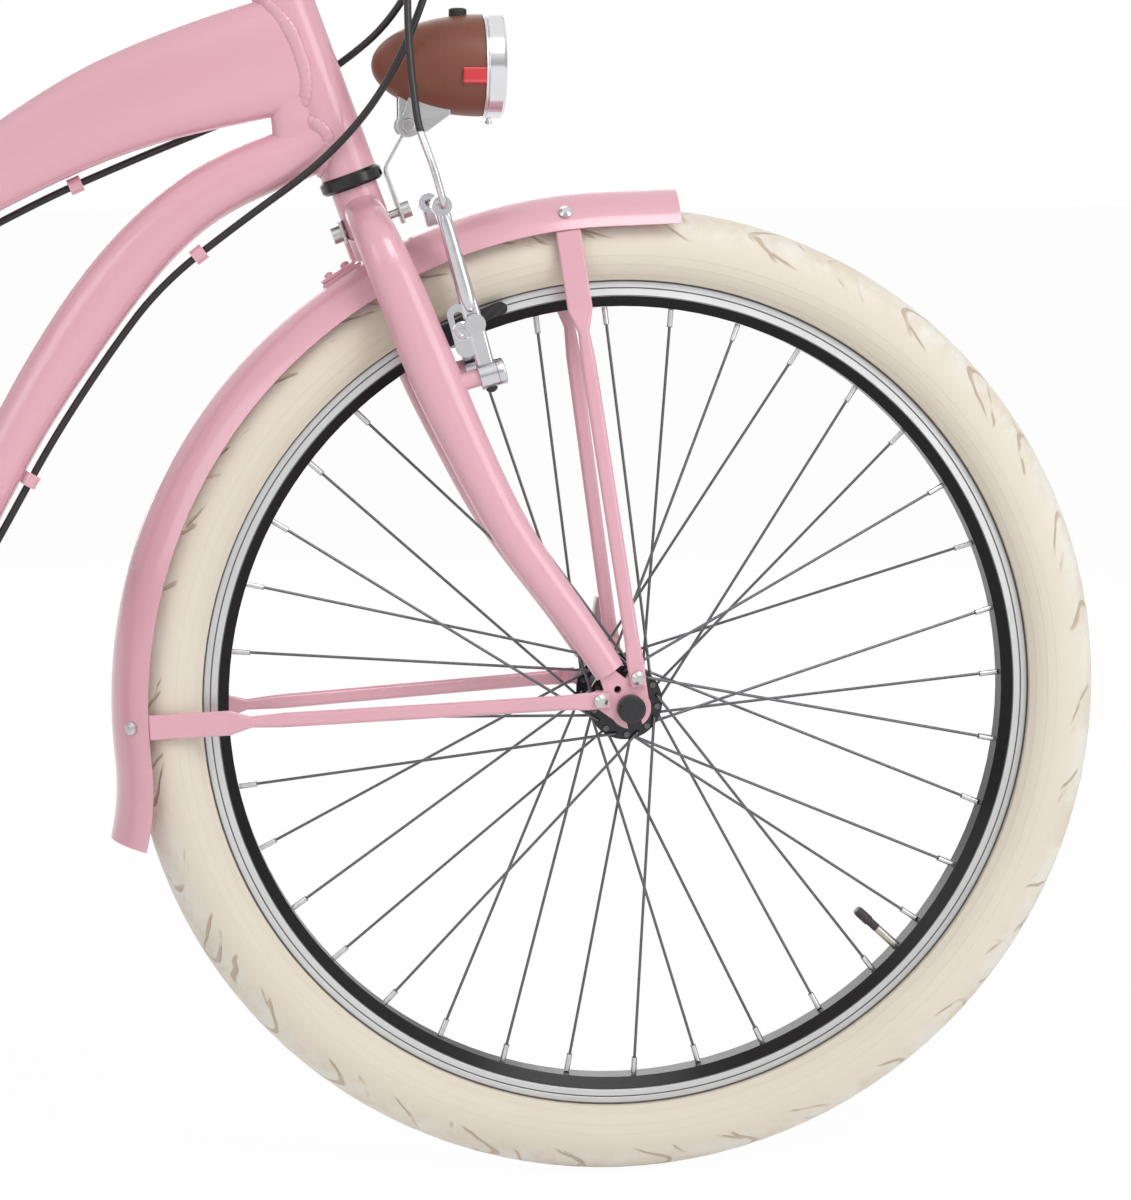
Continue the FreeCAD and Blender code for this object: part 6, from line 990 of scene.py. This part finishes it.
SADDLE_VOXEL = 0.005
SADDLE_SWELL = 0.004
SADDLE_PRESSURE = 4.0
SADDLE_STIFFNESS = 30.0
SADDLE_STEPS = 20


def saddle_cushion():
    """The saddle's solid as a padded form: remeshed evenly, swollen a little by pressure, and smoothed."""
    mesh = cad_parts["saddle"].data.copy()
    merged = bmesh.new()
    merged.from_mesh(mesh)
    bmesh.ops.remove_doubles(merged, verts=merged.verts, dist=0.00002)
    merged.to_mesh(mesh)
    merged.free()
    mesh.materials.clear()
    mesh.materials.append(saddle_leather().material)
    made = bpy.data.objects.new("saddle_cushion", mesh)
    scene.collection.objects.link(made)
    remesh = made.modifiers.new("even", "REMESH")
    remesh.mode = "VOXEL"
    remesh.voxel_size = SADDLE_VOXEL
    remesh.use_smooth_shade = True
    smooth = made.modifiers.new("soften", "SMOOTH")
    smooth.factor = 0.5
    smooth.iterations = 6
    settle(made)
    before = places(made.data)
    pad = made.modifiers.new("pad", "CLOTH")
    pad.settings.use_pressure = True
    pad.settings.uniform_pressure_force = SADDLE_PRESSURE
    pad.settings.effector_weights.gravity = 0.0
    pad.settings.tension_stiffness = SADDLE_STIFFNESS
    pad.settings.compression_stiffness = SADDLE_STIFFNESS
    pad.point_cache.frame_start = 1
    pad.point_cache.frame_end = SADDLE_STEPS
    for step in range(1, SADDLE_STEPS + 1):
        scene.frame_set(step)
    settle(made)
    scene.frame_set(1)
    moved = places(made.data) - before
    reach = np.linalg.norm(moved, axis=1, keepdims=True)
    moved = moved * np.minimum(1, SADDLE_SWELL / np.maximum(reach, 1e-9))
    low = (before[:, 2:3] - before[:, 2].min()) / np.ptp(before[:, 2])
    moved = moved * np.clip(low * 2.5, 0, 1)
    made.data.vertices.foreach_set("co", (before + moved).ravel())
    made.data.update()
    made.data.shade_smooth()
    finer = made.modifiers.new("finer", "SUBSURF")
    finer.levels = 1
    finer.render_levels = 1
    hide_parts("saddle")
    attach(made, "seat")


saddle_cushion()

# Floor, backdrop and light
FLOOR_REACH = 30.0
FLOOR_GLOW_SHARE = 0.965
FLOOR_GREY = (0.90, 0.90, 0.90, 1.0)
WHITE = (1.0, 1.0, 1.0, 1.0)
EVEN_LIGHT = 0.46


def white_ground():
    """A pale floor that camera, metal and glass see nearly white, with the object's shadow still on it."""
    material = bpy.data.materials.new("pale_floor")
    nodes = Nodes(material)
    matt = nodes.node("ShaderNodeBsdfDiffuse", {}, {"Color": FLOOR_GREY}).outputs[0]
    glow = nodes.node("ShaderNodeEmission", {}, {"Strength": 1.0}).outputs[0]
    seen = nodes.ray("Camera").most(nodes.ray("Glossy")).most(nodes.ray("Transmission"))
    nodes.node("ShaderNodeOutputMaterial", {}, {0: nodes.blend(seen * FLOOR_GLOW_SHARE, matt, glow)})
    mesh = bpy.data.meshes.new("floor")
    corners = [(-FLOOR_REACH, -FLOOR_REACH, 0), (FLOOR_REACH, -FLOOR_REACH, 0),
               (FLOOR_REACH, FLOOR_REACH, 0), (-FLOOR_REACH, FLOOR_REACH, 0)]
    mesh.from_pydata(corners, [], [(0, 1, 2, 3)])
    mesh.materials.append(material)
    floor = bpy.data.objects.new("floor", mesh)
    scene.collection.objects.link(floor)


def soft_sky():
    """White to the camera, a studio brighter with height to metal and glass, an even light elsewhere."""
    world = bpy.data.worlds.new("studio")
    scene.world = world
    nodes = Nodes(world)
    place = nodes.node("ShaderNodeTexCoord").outputs["Generated"]
    height = nodes.value("ShaderNodeSeparateXYZ", {}, {0: place}, 2)
    studio = nodes.value("ShaderNodeMapRange", {"interpolation_type": "SMOOTHSTEP"},
                         {"Value": height, "From Min": 0.02, "From Max": 0.55, "To Min": 0.50, "To Max": 1.0})
    lights = [nodes.node("ShaderNodeBackground", {}, {"Color": WHITE, "Strength": strength})
              for strength in (EVEN_LIGHT, studio, 1.0)]
    even, mirror, white = (light.outputs[0] for light in lights)
    polished = nodes.ray("Glossy").most(nodes.ray("Transmission"))
    seen = nodes.blend(nodes.ray("Camera"), nodes.blend(polished, even, mirror), white)
    nodes.node("ShaderNodeOutputWorld", {}, {0: seen})


def softbox(name, place, aim, size, power):
    """A square lamp facing a point."""
    data = bpy.data.lights.new(name, "AREA")
    data.size = size
    data.energy = power
    lamp = bpy.data.objects.new(name, data)
    back = unit(np.asarray(place, float) - np.asarray(aim, float))
    right = unit(np.cross((0, 0, 1), back))
    up = np.cross(back, right)
    turn = np.eye(4)
    turn[:3, 0], turn[:3, 1], turn[:3, 2], turn[:3, 3] = right, up, back, place
    lamp.matrix_world = Matrix(turn.tolist())
    scene.collection.objects.link(lamp)


white_ground()
soft_sky()
softbox("key_lamp", (-2.4, -1.5, 3.2), (0, -0.3, 0.5), 1.8, 54.0)
softbox("front_lamp", (-2.6, -3.0, 1.2), (0, -0.3, 0.5), 1.8, 24.0)
softbox("fill_lamp", (-2.6, 2.4, 1.8), (0, 0, 0.5), 1.8, 17.0)
softbox("back_lamp", (3.0, 0.0, 1.7), (0, 0, 0.5), 2.6, 40.0)
scene.view_settings.view_transform = "Standard"
